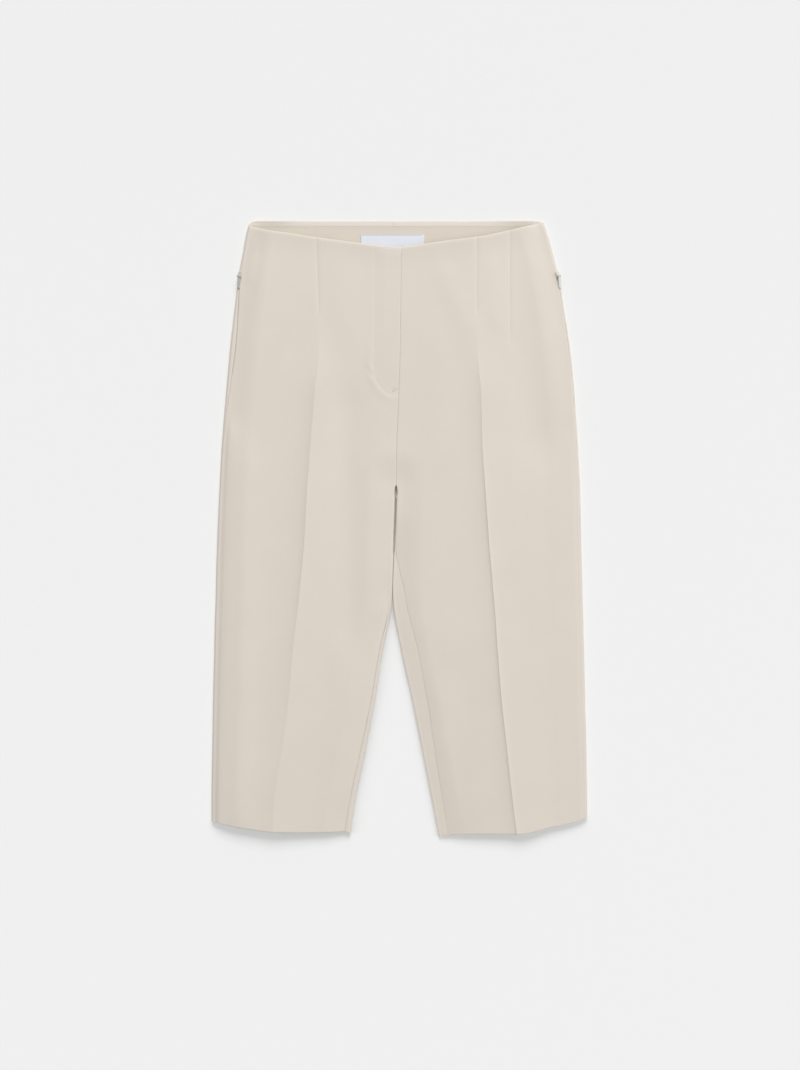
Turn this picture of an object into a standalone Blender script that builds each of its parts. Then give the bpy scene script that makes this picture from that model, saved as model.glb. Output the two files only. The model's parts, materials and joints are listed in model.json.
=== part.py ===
"""Capri trousers of heavy crepe, laid flat on a table with the front up.

Two fronts and two backs carry the shape. Each half of the garment, the wearer's right and
left, has one outline at every height: from the centre front or the inseam over the top of
the cloth to the side fold, round it, and back along the table to the centre back or the
inseam. The front takes the stretch of the outline between inseam and side seam, and the
back takes the rest. The other pieces are made from points of the same outlines.

The waist points to +Y, the front faces +Z, and the garment lies on z = 0. Its wearer's
right is on the -X side.
"""

import math

import bmesh
import bpy
import numpy as np
from mathutils import Matrix, Vector

# Cloth and seams, in metres
CLOTH = 0.0012
SEAM_GAP = 0.0003
HALF_GAP = SEAM_GAP / 2

# The garment's length, from the back waist edge to the lowest point of the hem
WAIST_Y = 0.3905
HEM_Y = -0.3905
WAIST_REACH = 0.0670  # the rows this far below the waist follow its curve
HEM_REACH = 0.0505  # the rows this far above the hem follow its curve

# How the cloth lies
FOLD = 0.0035  # radius of the folds at the sides and along the inner legs
PUFF_HIP = 0.0050  # how far the front stands above the top of the side fold
PUFF_LEG = 0.0030
PUFF_LEG_Y = 0.100  # the height where the hip's puff has sunk to the leg's
PUFF_HIP_Y = 0.300
PUFF_REACH = 0.034  # the distance from a fold over which it rises
CREASE_RISE = 0.0025  # the pressed crease down each front leg
CREASE_SPREAD = 0.020
CREASE_TOP_Y = 0.265
CREASE_FULL_Y = 0.170

# The crotch: the centre seams turn in and meet the inseams at one point
CENTRE_DIP_Y = 0.100  # the front starts to sink towards the crotch
SLIT_Y = 0.057  # the slit between the legs starts
FORK_Y = 0.042  # the four seams meet
SEAT_Y = 0.085  # the back seam starts to turn in
CENTRE_BACK_X = -0.0070  # the centre-back seam at the waist

# Darts, as soft grooves: offset outwards from the crease, and the height where each ends
DART_DEPTH = 0.0006
DART_WIDTH = 0.0025
DART_FADE = 0.030
DARTS = {"right": ((0.0, 0.262),), "left": ((0.0, 0.262), (0.042, 0.228))}

# Fly: a J-shaped field raised by the layers under it, on the wearer's right front
FLY_WIDTH = 0.0325
FLY_RISE = 0.0004
FLY_CURVE_Y = 0.215
FLY_END_Y = 0.171
FLY_ZIP_WIDTH = 0.024
FLY_ZIP_TOP_Y = 0.345
FLY_ZIP_WALL = 0.0012

# Back waist facing and the label sewn to it
FACING_WALL = 0.0010
FACING_TOP_Y = 0.3850
FACING_DEPTH = 0.040
LABEL_SIZE = (0.080, 0.022, 0.0010)
LABEL_X = -0.0088
LABEL_TOP_Y = 0.3753

# Side zips
ZIP_TOP_Y = 0.3235
ZIP_END_Y = 0.190
CHAIN_WIDTH = 0.007
CHAIN_WALL = 0.0009
SLIDER_SIZE = (0.0050, 0.0076, 0.0016)
EAR_SIZE = (0.0007, 0.0024, 0.0034)
EAR_ABOVE_PIN = 0.0010
EARS_WIDTH = 0.0050
PIN_RADIUS = 0.00040
EYE_RADIUS = 0.00070
BARREL_RADIUS = 0.00120
BARREL_WIDTH = 0.0030
PULL_SIZE = (0.0038, 0.0130, 0.0008)
PULL_START = 0.0021  # from the pin to the plate, past the ears
NECK_WIDTH = 0.0026
PULL_DROP = math.radians(9.0)  # the tab slopes down to the cloth

# One row for each height, from the waist down, in metres. inner is the centre front above
# the fork and the inner edge of the leg below it. seam_in and inseam_in are how far the side
# seam and the inseam lie in from the outline, seen from the front.
COLUMNS = ("y", "inner", "crease", "side", "seam_in", "inseam_in")
ROWS = {
    "right": (
        (0.3905, 0.0020, -0.1060, -0.1905, 0.0020, 0.0),
        (0.3750, 0.0020, -0.1055, -0.1950, 0.0020, 0.0),
        (0.3550, 0.0020, -0.1050, -0.1985, 0.0020, 0.0),
        (0.3230, 0.0020, -0.1035, -0.2045, 0.0022, 0.0),
        (0.2850, 0.0015, -0.1025, -0.2090, 0.0045, 0.0),
        (0.2330, 0.0010, -0.1020, -0.2150, 0.0070, 0.0),
        (0.1720, -0.0010, -0.1075, -0.2205, 0.0042, 0.0),
        (0.1400, -0.0022, -0.1100, -0.2232, 0.0024, 0.0),
        (0.1110, -0.0035, -0.1125, -0.2255, 0.0010, 0.0),
        (0.0800, -0.0040, -0.1147, -0.2274, 0.0003, 0.0),
        (0.0500, -0.0045, -0.1170, -0.2290, 0.0, 0.0),
        (-0.0220, -0.0070, -0.1210, -0.2320, 0.0, 0.0),
        (-0.0540, -0.0082, -0.1240, -0.2330, 0.0, 0.0002),
        (-0.0800, -0.0092, -0.1265, -0.2335, 0.0, 0.0009),
        (-0.0960, -0.0100, -0.1280, -0.2340, 0.0, 0.0017),
        (-0.1200, -0.0143, -0.1310, -0.2348, 0.0, 0.0031),
        (-0.1530, -0.0210, -0.1350, -0.2355, 0.0, 0.0040),
        (-0.2165, -0.0310, -0.1405, -0.2370, 0.0, 0.0050),
        (-0.2800, -0.0430, -0.1490, -0.2380, 0.0, 0.0060),
        (-0.3435, -0.0560, -0.1585, -0.2390, 0.0, 0.0070),
        (-0.3905, -0.0630, -0.1610, -0.2390, 0.0, 0.0075),
    ),
    "left": (
        (0.3905, 0.0020, 0.0980, 0.1830, 0.0015, 0.0),
        (0.3750, 0.0020, 0.0980, 0.1885, 0.0015, 0.0),
        (0.3550, 0.0020, 0.0980, 0.1940, 0.0015, 0.0),
        (0.3230, 0.0020, 0.0980, 0.2020, 0.0015, 0.0),
        (0.2850, 0.0015, 0.0980, 0.2085, 0.0015, 0.0),
        (0.2330, 0.0010, 0.0985, 0.2165, 0.0018, 0.0),
        (0.1720, -0.0010, 0.1035, 0.2225, 0.0018, 0.0),
        (0.1400, -0.0022, 0.1043, 0.2245, 0.0018, 0.0),
        (0.1110, -0.0035, 0.1050, 0.2265, 0.0018, 0.0),
        (0.0800, -0.0040, 0.1068, 0.2281, 0.0016, 0.0),
        (0.0500, -0.0045, 0.1090, 0.2295, 0.0015, 0.0),
        (-0.0220, -0.0070, 0.1140, 0.2310, 0.0012, 0.0015),
        (-0.0540, -0.0082, 0.1170, 0.2320, 0.0010, 0.0085),
        (-0.0800, -0.0090, 0.1190, 0.2325, 0.0010, 0.0155),
        (-0.0960, -0.0080, 0.1205, 0.2330, 0.0010, 0.0170),
        (-0.1530, 0.0020, 0.1245, 0.2345, 0.0010, 0.0210),
        (-0.2165, 0.0160, 0.1295, 0.2360, 0.0010, 0.0190),
        (-0.2800, 0.0285, 0.1365, 0.2375, 0.0010, 0.0160),
        (-0.3435, 0.0410, 0.1435, 0.2385, 0.0010, 0.0135),
        (-0.3905, 0.0500, 0.1495, 0.2390, 0.0010, 0.0120),
    ),
}

# How far the front's waist edge lies below the back's, and the height of the hem, both from
# the side (share 0) to the centre front or the inner edge (share 1)
WAIST_SHARES = (0.0, 0.010, 0.045, 0.150, 0.300, 0.450, 0.600, 0.750, 0.900, 1.0)
WAIST_DROP = {
    "right": (0.0005, 0.0045, 0.0065, 0.0110, 0.0152, 0.0198, 0.0237, 0.0275, 0.0312, 0.0324),
    "left": (0.0, 0.0006, 0.0020, 0.0060, 0.0123, 0.0180, 0.0218, 0.0254, 0.0298, 0.0324),
}
HEM_SHARES = (0.0, 0.10, 0.25, 0.45, 0.70, 0.96, 1.0)
HEM_HEIGHT = {
    "right": (-0.3705, -0.3750, -0.3795, -0.3840, -0.3850, -0.3840, -0.3865),
    "left": (-0.3660, -0.3725, -0.3785, -0.3865, -0.3865, -0.3890, -0.3905),
}

# Heights of the loft's rings, closer together at the fork
RING_HEIGHTS = (
    0.3905, 0.3780, 0.3550, 0.3235, 0.2900, 0.2550, 0.2220, 0.1900, 0.1650, 0.1430, 0.1220, 0.1000,
    0.0720, 0.0570, 0.0495, 0.0420, 0.0330, 0.0150, -0.0080, -0.0350, -0.0580, -0.0800,
    -0.1000, -0.1250, -0.1600, -0.2050, -0.2500, -0.2950, -0.3400, -0.3700, -0.3905,
)  # fmt: skip

OUTWARD = {"right": -1, "left": 1}
FOLD_STEPS = 10
TOP_SPACING = 0.004
BACK_FOLD_COLUMNS = 6
BACK_SEAT_COLUMNS = 3
INNER_REACH = 0.012
CLOSEST_COLUMNS = 0.0008
CHAIN_COLUMNS = 6
SHARP_ANGLE = math.radians(50)
FIT_ROUNDS = 3

CREAM = (0.71, 0.65, 0.57)
LABEL_WHITE = (0.86, 0.87, 0.90)
ZIP_GREY = (0.42, 0.41, 0.39)


def smooth_step(x):
    """0 below x = 0, 1 above x = 1, and a soft S between them."""
    x = np.clip(x, 0.0, 1.0)
    return x * x * (3.0 - 2.0 * x)


def between(xs, values, x):
    """A smooth curve through the points (xs, values) that never overshoots them."""
    xs, values = np.asarray(xs, float), np.asarray(values, float)
    steps = np.diff(xs)
    slopes = np.diff(values) / steps
    product = slopes[:-1] * slopes[1:]
    total = np.where(product > 0, slopes[:-1] + slopes[1:], 1.0)
    tangents = np.concatenate([slopes[:1], np.where(product > 0, 2 * product / total, 0), slopes[-1:]])
    x = np.clip(x, xs[0], xs[-1])
    k = np.clip(np.searchsorted(xs, x) - 1, 0, len(steps) - 1)
    t = (x - xs[k]) / steps[k]
    start = values[k] * (1 + 2 * t) * (1 - t) ** 2 + values[k + 1] * t * t * (3 - 2 * t)
    return start + steps[k] * (tangents[k] * t * (1 - t) ** 2 - tangents[k + 1] * t * t * (1 - t))


def size_at(half, column, y):
    """One column of the half's table, at any height."""
    table = np.array(ROWS[half])[::-1]
    return float(between(table[:, 0], table[:, COLUMNS.index(column)], y))


def centre_back(half, y):
    """The centre-back seam's x: its own place at the waist, the front's at the fork."""
    share = np.clip((y - SEAT_Y) / (WAIST_Y - SEAT_Y), 0.0, 1.0)
    shift = CENTRE_BACK_X - size_at(half, "inner", WAIST_Y)
    return size_at(half, "inner", y) + shift * float(share)


def fly_edge(y):
    """Distance of the fly's J-shaped edge from the centre front, zero below its end."""
    down = np.clip((FLY_CURVE_Y - y) / (FLY_CURVE_Y - FLY_END_Y), 0.0, 1.0)
    return FLY_WIDTH * math.sqrt(1.0 - float(down) ** 2)


def front_height(half, y, across, width, crease):
    """z of the front's outer face at distances across from the inner edge."""
    as_leg = 1.0 - smooth_step((y - SLIT_Y) / (CENTRE_DIP_Y - SLIT_Y))
    puff = PUFF_LEG + (PUFF_HIP - PUFF_LEG) * smooth_step((y - PUFF_LEG_Y) / (PUFF_HIP_Y - PUFF_LEG_Y))
    from_side = smooth_step((width - FOLD - across) / PUFF_REACH)
    from_inner = smooth_step((across - FOLD) / PUFF_REACH)
    z = 2 * FOLD + puff * from_side * (1.0 - as_leg * (1.0 - from_inner))
    pressed = smooth_step((CREASE_TOP_Y - y) / (CREASE_TOP_Y - CREASE_FULL_Y))
    z = z + CREASE_RISE * pressed * np.exp(-np.abs(across - crease) / CREASE_SPREAD)
    for offset, end_y in DARTS[half]:
        sewn = smooth_step((y - end_y) / DART_FADE)
        z = z - DART_DEPTH * sewn * np.exp(-(((across - crease - offset) / DART_WIDTH) ** 2))
    if half == "right":
        z = z + FLY_RISE * smooth_step((fly_edge(y) - across) / DART_WIDTH + 0.5)
    return z


class Outline:
    """One half's outline at one height, as a path of (across, z) points.

    It starts at the centre front, or at the inner edge of the leg, and runs over the top,
    round the side fold and back along the table. Places on it are lengths along the path.
    """

    def __init__(self, half, y):
        self.half = half
        self.y = y
        self.inner = size_at(half, "inner", y)
        sign = OUTWARD[half]
        self.width = sign * (size_at(half, "side", y) - self.inner)
        crease = sign * (size_at(half, "crease", y) - self.inner)
        top_turn = math.pi / 2 * float(smooth_step((SLIT_Y - y) / (SLIT_Y - FORK_Y)))
        seat_turn = math.pi / 2 * float(smooth_step((SEAT_Y - y) / (SEAT_Y - FORK_Y)))
        self.joined = y <= FORK_Y
        self.turned = top_turn / (math.pi / 2)
        self.seat_turned = seat_turn / (math.pi / 2)
        seat_end = sign * (centre_back(half, y) - self.inner)

        start = FOLD * math.sin(top_turn)
        end = self.width - FOLD
        marks = [crease + offset + step for offset, _ in DARTS[half] for step in (-DART_WIDTH, 0, DART_WIDTH)]
        evenly = np.linspace(start, end, int((end - start) / TOP_SPACING) + 2)
        top = np.unique(np.concatenate([evenly, marks]))
        top_z = front_height(half, y, top, self.width, crease)
        turn = np.linspace(top_turn, 0.0, FOLD_STEPS, endpoint=False) if top_turn > 0 else np.empty(0)
        side = np.linspace(0.0, math.pi, 2 * FOLD_STEPS + 1)[1:]
        seat_start = seat_end + FOLD * math.sin(seat_turn)
        seat = np.linspace(end, seat_start, FOLD_STEPS)[1:]
        back = np.linspace(0.0, seat_turn, FOLD_STEPS + 1)[1:] if seat_turn > 0 else np.empty(0)
        self.across = np.concatenate([
            start - FOLD * np.sin(turn),
            top,
            end + FOLD * np.sin(side),
            seat,
            seat_start - FOLD * np.sin(back),
        ])
        self.z = np.concatenate([
            top_z[0] - FOLD * (1 - np.cos(turn)),
            top_z,
            FOLD + FOLD * np.cos(side),
            np.zeros_like(seat),
            FOLD * (1 - np.cos(back)),
        ])
        steps = np.hypot(np.diff(self.across), np.diff(self.z))
        self.length = np.concatenate([[0.0], np.cumsum(steps)])
        self.total = self.length[-1]
        outermost = len(turn) + len(top) + FOLD_STEPS
        self.side_edge = self.length[outermost - 1]
        self.fold_end = self.length[len(turn) + len(top) + 2 * FOLD_STEPS - 1]
        self.seat_start = self.length[-1 - len(back)]
        self.seat_near = self.seat_start - INNER_REACH
        on_top = slice(0, outermost)
        self.crease = float(np.interp(crease, self.across[on_top], self.length[on_top]))
        seam_at = self.width - size_at(half, "seam_in", y)
        self.side_seam = float(np.interp(seam_at, self.across[on_top], self.length[on_top]))
        inseam_in = size_at(half, "inseam_in", y)
        self.inseam = float(np.interp(inseam_in, self.across[on_top], self.length[on_top]))

    def across_z(self, place):
        """The (across, z) point at a length along the path, which closes on itself in a leg."""
        if self.joined:
            place %= self.total
        return np.interp(place, self.length, self.across), np.interp(place, self.length, self.z)

    def on_table(self, place):
        """True on the lower side, between the side edge and the inner edge."""
        return self.side_edge < place <= self.total

    def inward(self, place, step=0.0002):
        """Unit vector in (across, z) that points into the garment."""
        along = np.subtract(self.across_z(place + step), self.across_z(place - step))
        return np.array([along[1], -along[0]]) / np.hypot(*along)

    def point(self, place, depth=0.0):
        """The world point at this place, moved into the garment by depth."""
        across, z = np.array(self.across_z(place)) + depth * self.inward(place)
        return np.array([self.inner + OUTWARD[self.half] * (across + HALF_GAP), self.y, z])


def front_columns(line):
    """Places across a front: the inner turn, the fly or not, the crease, the darts and the side."""
    first = line.inseam + HALF_GAP * line.turned
    last = line.side_seam - HALF_GAP
    inner = {"right": (0.014, 0.031, 0.034, 0.060), "left": (0.014, 0.036, 0.064)}[line.half]
    outer = {"right": (0.035, 0.054), "left": (0.0395, 0.042, 0.0445, 0.056)}[line.half]
    return [
        *(first + step for step in (0.0, 0.0018, 0.0036, 0.0056, *inner)),
        *(line.crease + step for step in (-0.012, -DART_WIDTH, 0.0, DART_WIDTH, 0.012, *outer)),
        *(last - step for step in (0.0180, 0.0060, 0.0028, 0.0)),
    ]


def back_columns(line):
    """Places across a back: round the side fold, along the table and round the inner fold."""
    first = line.side_seam + HALF_GAP
    last = line.total + (line.inseam if line.joined else 0.0) - HALF_GAP * line.seat_turned
    fold = np.linspace(first, line.fold_end, BACK_FOLD_COLUMNS + 1)
    table = np.linspace(line.fold_end, line.seat_near, BACK_SEAT_COLUMNS + 2)[1:]
    quarter = FOLD * math.pi / 2
    turn = [line.seat_start + quarter * step / 3 for step in range(7)]
    strip = [(turn[-1] + last) / 2]
    inner = [*turn, *strip, last]
    left = range(len(inner) - 1, -1, -1)
    inner = [min(place, last - CLOSEST_COLUMNS * count) for place, count in zip(inner, left)]
    return [*fold, *table, *inner]


def chain_columns(line):
    """Places across the zip chain, half of it on each side of the side seam."""
    return line.side_seam + np.linspace(-CHAIN_WIDTH / 2, CHAIN_WIDTH / 2, CHAIN_COLUMNS)


def fitted_height(half, ring_y, line, place):
    """The ring's height at this place, stretched to the curve of the waist and of the hem."""
    share = np.clip(1.0 - line.across_z(place)[0] / line.width, 0.0, 1.0)
    top_y = WAIST_Y
    if not line.on_table(place):
        top_y -= between(WAIST_SHARES, WAIST_DROP[half], share)
    bottom_y = between(HEM_SHARES, HEM_HEIGHT[half], share)
    near_waist = np.clip((ring_y - WAIST_Y) / WAIST_REACH + 1.0, 0.0, 1.0)
    near_hem = np.clip((HEM_Y - ring_y) / HEM_REACH + 1.0, 0.0, 1.0)
    return float(ring_y + near_waist * (top_y - WAIST_Y) + near_hem * (bottom_y - HEM_Y))


def loft(half, columns, depths, rings=RING_HEIGHTS):
    """Rings of points down one half, one point for each column, as one grid for each depth."""
    grid = []
    for ring_y in rings:
        line = Outline(half, ring_y)
        ring = []
        for index in range(len(columns(line))):
            own = line
            for _ in range(FIT_ROUNDS):
                y = fitted_height(half, ring_y, own, columns(own)[index])
                if y == own.y:
                    break
                own = Outline(half, y)
            ring.append([own.point(columns(own)[index], depth) for depth in depths])
        grid.append(ring)
    return np.moveaxis(np.array(grid), 2, 0)


def make_material(name, color, roughness, metallic=0.0):
    material = bpy.data.materials.new(name)
    material.use_nodes = True
    shader = material.node_tree.nodes["Principled BSDF"]
    shader.inputs["Base Color"].default_value = (*color, 1.0)
    shader.inputs["Roughness"].default_value = roughness
    shader.inputs["Metallic"].default_value = metallic
    return material


def add_piece(collection, name, mesh, color, roughness, metallic=0.0):
    obj = bpy.data.objects.new(name, mesh)
    obj.data.materials.clear()
    obj.data.materials.append(make_material(name, color, roughness, metallic))
    collection.objects.link(obj)
    return obj


def grid_faces(corner):
    """Four-sided faces between the neighbours of a grid of vertex numbers."""
    faces = np.stack([corner[:-1, :-1], corner[:-1, 1:], corner[1:, 1:], corner[1:, :-1]], axis=-1)
    return faces.reshape(-1, 4)


def make_mesh(name, points, faces, turned):
    """A mesh of these faces. turned swaps the side that they look to."""
    mesh = bpy.data.meshes.new(name)
    mesh.from_pydata(points.reshape(-1, 3).tolist(), [], faces[:, :: -1 if turned else 1].tolist())
    mesh.shade_smooth()
    mesh.set_sharp_from_angle(angle=SHARP_ANGLE)
    return mesh


def add_flat_cloth(collection, name, grid, turned, wall, color=CREAM):
    """A flat cloth piece: the grid is its upper face, and the wall grows down from it."""
    corner = np.arange(grid.shape[0] * grid.shape[1]).reshape(grid.shape[:2])
    mesh = make_mesh(name, grid, grid_faces(corner), turned)
    cloth = add_piece(collection, name, mesh, color, roughness=0.85)
    solid = cloth.modifiers.new("wall", "SOLIDIFY")
    solid.thickness = wall
    solid.offset = -1.0


def add_folded_cloth(collection, name, outer, inner, turned, color=CREAM):
    """A cloth piece between two grids that run alike, closed along its four edges."""
    size = outer.shape[0] * outer.shape[1]
    corner = np.arange(size).reshape(outer.shape[:2])
    rim = np.concatenate([corner[0, :-1], corner[:-1, -1], corner[-1, :0:-1], corner[::-1, 0]])
    sides = grid_faces(np.stack([rim, rim + size]))
    faces = np.concatenate([grid_faces(corner), grid_faces(corner + size)[:, ::-1], sides[:, ::-1]])
    mesh = make_mesh(name, np.concatenate([outer, inner]), faces, turned)
    add_piece(collection, name, mesh, color, roughness=0.85)


def add_panels(collection):
    """The two fronts and the two backs."""
    for half in ROWS:
        for side, columns in (("front", front_columns), ("back", back_columns)):
            outer, inner = loft(half, columns, (0.0, CLOTH))
            add_folded_cloth(collection, f"{half}_{side}", outer, inner, half == "left")


def add_back_facings(collection):
    """Facings inside the back's waist, from the centre-back seam to just short of the fold."""
    z = CLOTH + SEAM_GAP + FACING_WALL
    for half, sign in OUTWARD.items():
        grid = []
        for y in np.linspace(FACING_TOP_Y, FACING_TOP_Y - FACING_DEPTH, 4):
            centre = centre_back(half, y) + sign * HALF_GAP
            side = size_at(half, "side", y) - sign * (FOLD + 0.001)
            grid.append([(x, y, z) for x in np.linspace(centre, side, 4)])
        turned = half == "left"
        add_flat_cloth(collection, f"{half}_back_facing", np.array(grid), turned, FACING_WALL)


def add_label(collection):
    """A bare woven label across the centre-back seam, on the facings."""
    width, depth, wall = LABEL_SIZE
    z = CLOTH + FACING_WALL + 2 * SEAM_GAP + wall
    xs = np.linspace(LABEL_X - width / 2, LABEL_X + width / 2, 3)
    ys = np.linspace(LABEL_TOP_Y, LABEL_TOP_Y - depth, 2)
    grid = np.array([[(x, y, z) for x in xs] for y in ys])
    add_flat_cloth(collection, "label", grid, turned=True, wall=wall, color=LABEL_WHITE)


def add_fly_zip(collection):
    """The fly's closed zip on its tape, flat against the inside of the fronts."""
    grid = []
    for y in np.linspace(FLY_ZIP_TOP_Y, FLY_END_Y, 7):
        line = Outline("left", y)
        z = line.across_z(0.0)[1] - CLOTH - SEAM_GAP
        reach = FLY_ZIP_WIDTH / 2
        grid.append([(line.inner + x, y, z) for x in np.linspace(-reach, reach, 3)])
    add_flat_cloth(collection, "fly_zip", np.array(grid), turned=True, wall=FLY_ZIP_WALL)


def add_zip_chains(collection):
    """The zip chain behind each side seam, bent with the fold that it lies in."""
    heights = [y for y in RING_HEIGHTS if ZIP_END_Y <= y <= ZIP_TOP_Y]
    depths = (CLOTH + SEAM_GAP, CLOTH + SEAM_GAP + CHAIN_WALL)
    for half in ROWS:
        outer, inner = loft(half, chain_columns, depths, heights)
        add_folded_cloth(collection, f"{half}_zip_chain", outer, inner, half == "left", ZIP_GREY)


def seam_frame(half):
    """Place on the side seam at the slider: X across the zip, Y up along it, Z off the cloth."""
    line, below = Outline(half, ZIP_TOP_Y), Outline(half, ZIP_TOP_Y - SLIDER_SIZE[1])
    here = Vector(line.point(line.side_seam))
    up = (here - Vector(below.point(below.side_seam))).normalized()
    across, z = -line.inward(line.side_seam)
    off = Vector((OUTWARD[half] * across, 0.0, z))
    off = (off - off.dot(up) * up).normalized()
    turn = Matrix((up.cross(off), up, off)).transposed().to_4x4()
    return Matrix.Translation(here) @ turn


def box_mesh(name, size, place):
    """A box of this size with its middle at place."""
    shape = bmesh.new()
    bmesh.ops.create_cube(shape, size=1.0, matrix=Matrix.Translation(place) @ Matrix.Diagonal((*size, 1.0)))
    mesh = bpy.data.meshes.new(name)
    shape.to_mesh(mesh)
    shape.free()
    return mesh


def rod_mesh(name, radius, length, place, sides=16):
    """A round rod along X with its middle at place."""
    shape = bmesh.new()
    lying = Matrix.Translation(place) @ Matrix.Rotation(math.pi / 2, 4, "Y")
    bmesh.ops.create_cone(
        shape, cap_ends=True, segments=sides, radius1=radius, radius2=radius, depth=length, matrix=lying
    )
    mesh = bpy.data.meshes.new(name)
    shape.to_mesh(mesh)
    shape.free()
    return mesh


def combine(obj, helpers, name, mesh, operation):
    """Joins a helper shape to the object, or cuts it away."""
    helper = bpy.data.objects.new(name, mesh)
    helper.hide_render = True
    helper.display_type = "WIRE"
    helpers.objects.link(helper)
    helper.matrix_world = obj.matrix_world
    step = obj.modifiers.new(name, "BOOLEAN")
    step.operation = operation
    step.object = helper


def add_zip_sliders(collection, helpers):
    """Each slider: a rounded body, two ears and the pin that the pull tab turns on."""
    width, length, wall = SLIDER_SIZE
    body_z = SEAM_GAP + wall / 2
    pin_z = SEAM_GAP + wall + SEAM_GAP + BARREL_RADIUS
    ear_z = pin_z + EAR_ABOVE_PIN - EAR_SIZE[2] / 2
    for half in ROWS:
        name = f"{half}_zip_slider"
        body = box_mesh(name, SLIDER_SIZE, (0.0, 0.0, body_z))
        slider = add_piece(collection, name, body, ZIP_GREY, roughness=0.35, metallic=1.0)
        slider.matrix_world = seam_frame(half)
        rounded = slider.modifiers.new("rounded", "BEVEL")
        rounded.width = 0.0005
        rounded.segments = 2
        for side in (-1, 1):
            x = side * (EARS_WIDTH - EAR_SIZE[0]) / 2
            ear = box_mesh(f"{name}_ear", EAR_SIZE, (x, -length / 4, ear_z))
            combine(slider, helpers, f"{name}_ear_{side + 2}", ear, "UNION")
        pin = rod_mesh(f"{name}_pin", PIN_RADIUS, EARS_WIDTH - EAR_SIZE[0], (0.0, -length / 4, pin_z))
        combine(slider, helpers, f"{name}_pin", pin, "UNION")


def add_zip_pulls(collection, helpers):
    """Each pull tab: a thin plate that hangs down the zip from a barrel on the slider's pin."""
    pin_z = SLIDER_SIZE[2] + 2 * SEAM_GAP + BARREL_RADIUS
    pin = Matrix.Translation((0.0, -SLIDER_SIZE[1] / 4, pin_z))
    for half in ROWS:
        name = f"{half}_zip_pull"
        plate = box_mesh(name, PULL_SIZE, (0.0, -PULL_START - PULL_SIZE[1] / 2, 0.0))
        pull = add_piece(collection, name, plate, ZIP_GREY, roughness=0.35, metallic=1.0)
        pull.matrix_world = seam_frame(half) @ pin @ Matrix.Rotation(PULL_DROP, 4, "X")
        rounded = pull.modifiers.new("rounded", "BEVEL")
        rounded.width = 0.0003
        rounded.segments = 2
        neck = box_mesh(f"{name}_neck", (NECK_WIDTH, PULL_START, PULL_SIZE[2]), (0.0, -0.7 * PULL_START, 0.0))
        combine(pull, helpers, f"{name}_neck", neck, "UNION")
        barrel = rod_mesh(f"{name}_barrel", BARREL_RADIUS, BARREL_WIDTH, (0.0, 0.0, 0.0))
        combine(pull, helpers, f"{name}_barrel", barrel, "UNION")
        eye = rod_mesh(f"{name}_eye", EYE_RADIUS, 2 * BARREL_WIDTH, (0.0, 0.0, 0.0))
        combine(pull, helpers, f"{name}_eye", eye, "DIFFERENCE")


def main():
    for obj in list(bpy.data.objects):
        bpy.data.objects.remove(obj)
    garment = bpy.data.collections.new("capri_trousers")
    helpers = bpy.data.collections.new("helper_shapes")
    bpy.context.scene.collection.children.link(garment)
    bpy.context.scene.collection.children.link(helpers)
    add_panels(garment)
    add_back_facings(garment)
    add_label(garment)
    add_fly_zip(garment)
    add_zip_chains(garment)
    add_zip_sliders(garment, helpers)
    add_zip_pulls(garment, helpers)


main()
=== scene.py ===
"""Cream crepe capri trousers laid flat with the front up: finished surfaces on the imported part.

Every cloth piece follows one outline: at each height a path runs from the centre front, or
the inner edge of a leg, over the top of the cloth, round the side fold and back along the
table. A point of a panel is a place on that path and a height, moved along the surface's own
normal by the relief of seams, darts, pressed creases and folds. Lengths are in metres, the
waist points to +Y and the wearer's right is on the -X side.
"""

import json
import math

import bpy
import numpy as np
from bpy.props import FloatProperty, FloatVectorProperty, PointerProperty
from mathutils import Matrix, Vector

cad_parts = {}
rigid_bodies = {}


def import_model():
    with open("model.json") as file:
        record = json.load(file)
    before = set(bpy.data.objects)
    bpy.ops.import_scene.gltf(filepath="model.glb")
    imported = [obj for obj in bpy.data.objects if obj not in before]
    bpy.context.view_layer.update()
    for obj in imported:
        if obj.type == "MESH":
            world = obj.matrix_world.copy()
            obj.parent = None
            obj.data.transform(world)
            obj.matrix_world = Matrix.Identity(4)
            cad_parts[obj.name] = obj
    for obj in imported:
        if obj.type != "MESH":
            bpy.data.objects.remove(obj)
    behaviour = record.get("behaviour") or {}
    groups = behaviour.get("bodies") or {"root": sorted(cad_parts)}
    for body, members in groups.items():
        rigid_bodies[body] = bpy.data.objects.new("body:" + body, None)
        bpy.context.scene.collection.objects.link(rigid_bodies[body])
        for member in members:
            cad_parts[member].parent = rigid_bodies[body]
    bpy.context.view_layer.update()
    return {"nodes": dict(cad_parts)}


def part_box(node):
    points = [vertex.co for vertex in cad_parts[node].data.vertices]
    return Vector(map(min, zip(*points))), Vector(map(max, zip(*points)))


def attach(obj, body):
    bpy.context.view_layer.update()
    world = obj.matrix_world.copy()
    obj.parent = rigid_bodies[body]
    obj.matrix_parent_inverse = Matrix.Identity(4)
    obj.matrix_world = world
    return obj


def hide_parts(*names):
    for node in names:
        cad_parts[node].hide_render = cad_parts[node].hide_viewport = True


bl_info = {
    "name": "Capri Trousers",
    "version": (1, 0, 0),
    "blender": (4, 5, 0),
    "location": "3D View > Sidebar > Trousers",
    "description": "Finished surfaces of crepe capri trousers laid flat",
    "category": "Add Mesh",
}

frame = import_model()

# The picture that the camera matches: its height in pixels, the real width of one of them at
# the cloth's height, and the point at its middle
PHOTO_HEIGHT = 1070
PIXEL = 0.00127
CLOTH_HEIGHT = 0.008
PHOTO_CENTRE = (0.0007, -0.0070)
SENSOR = 0.036

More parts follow.
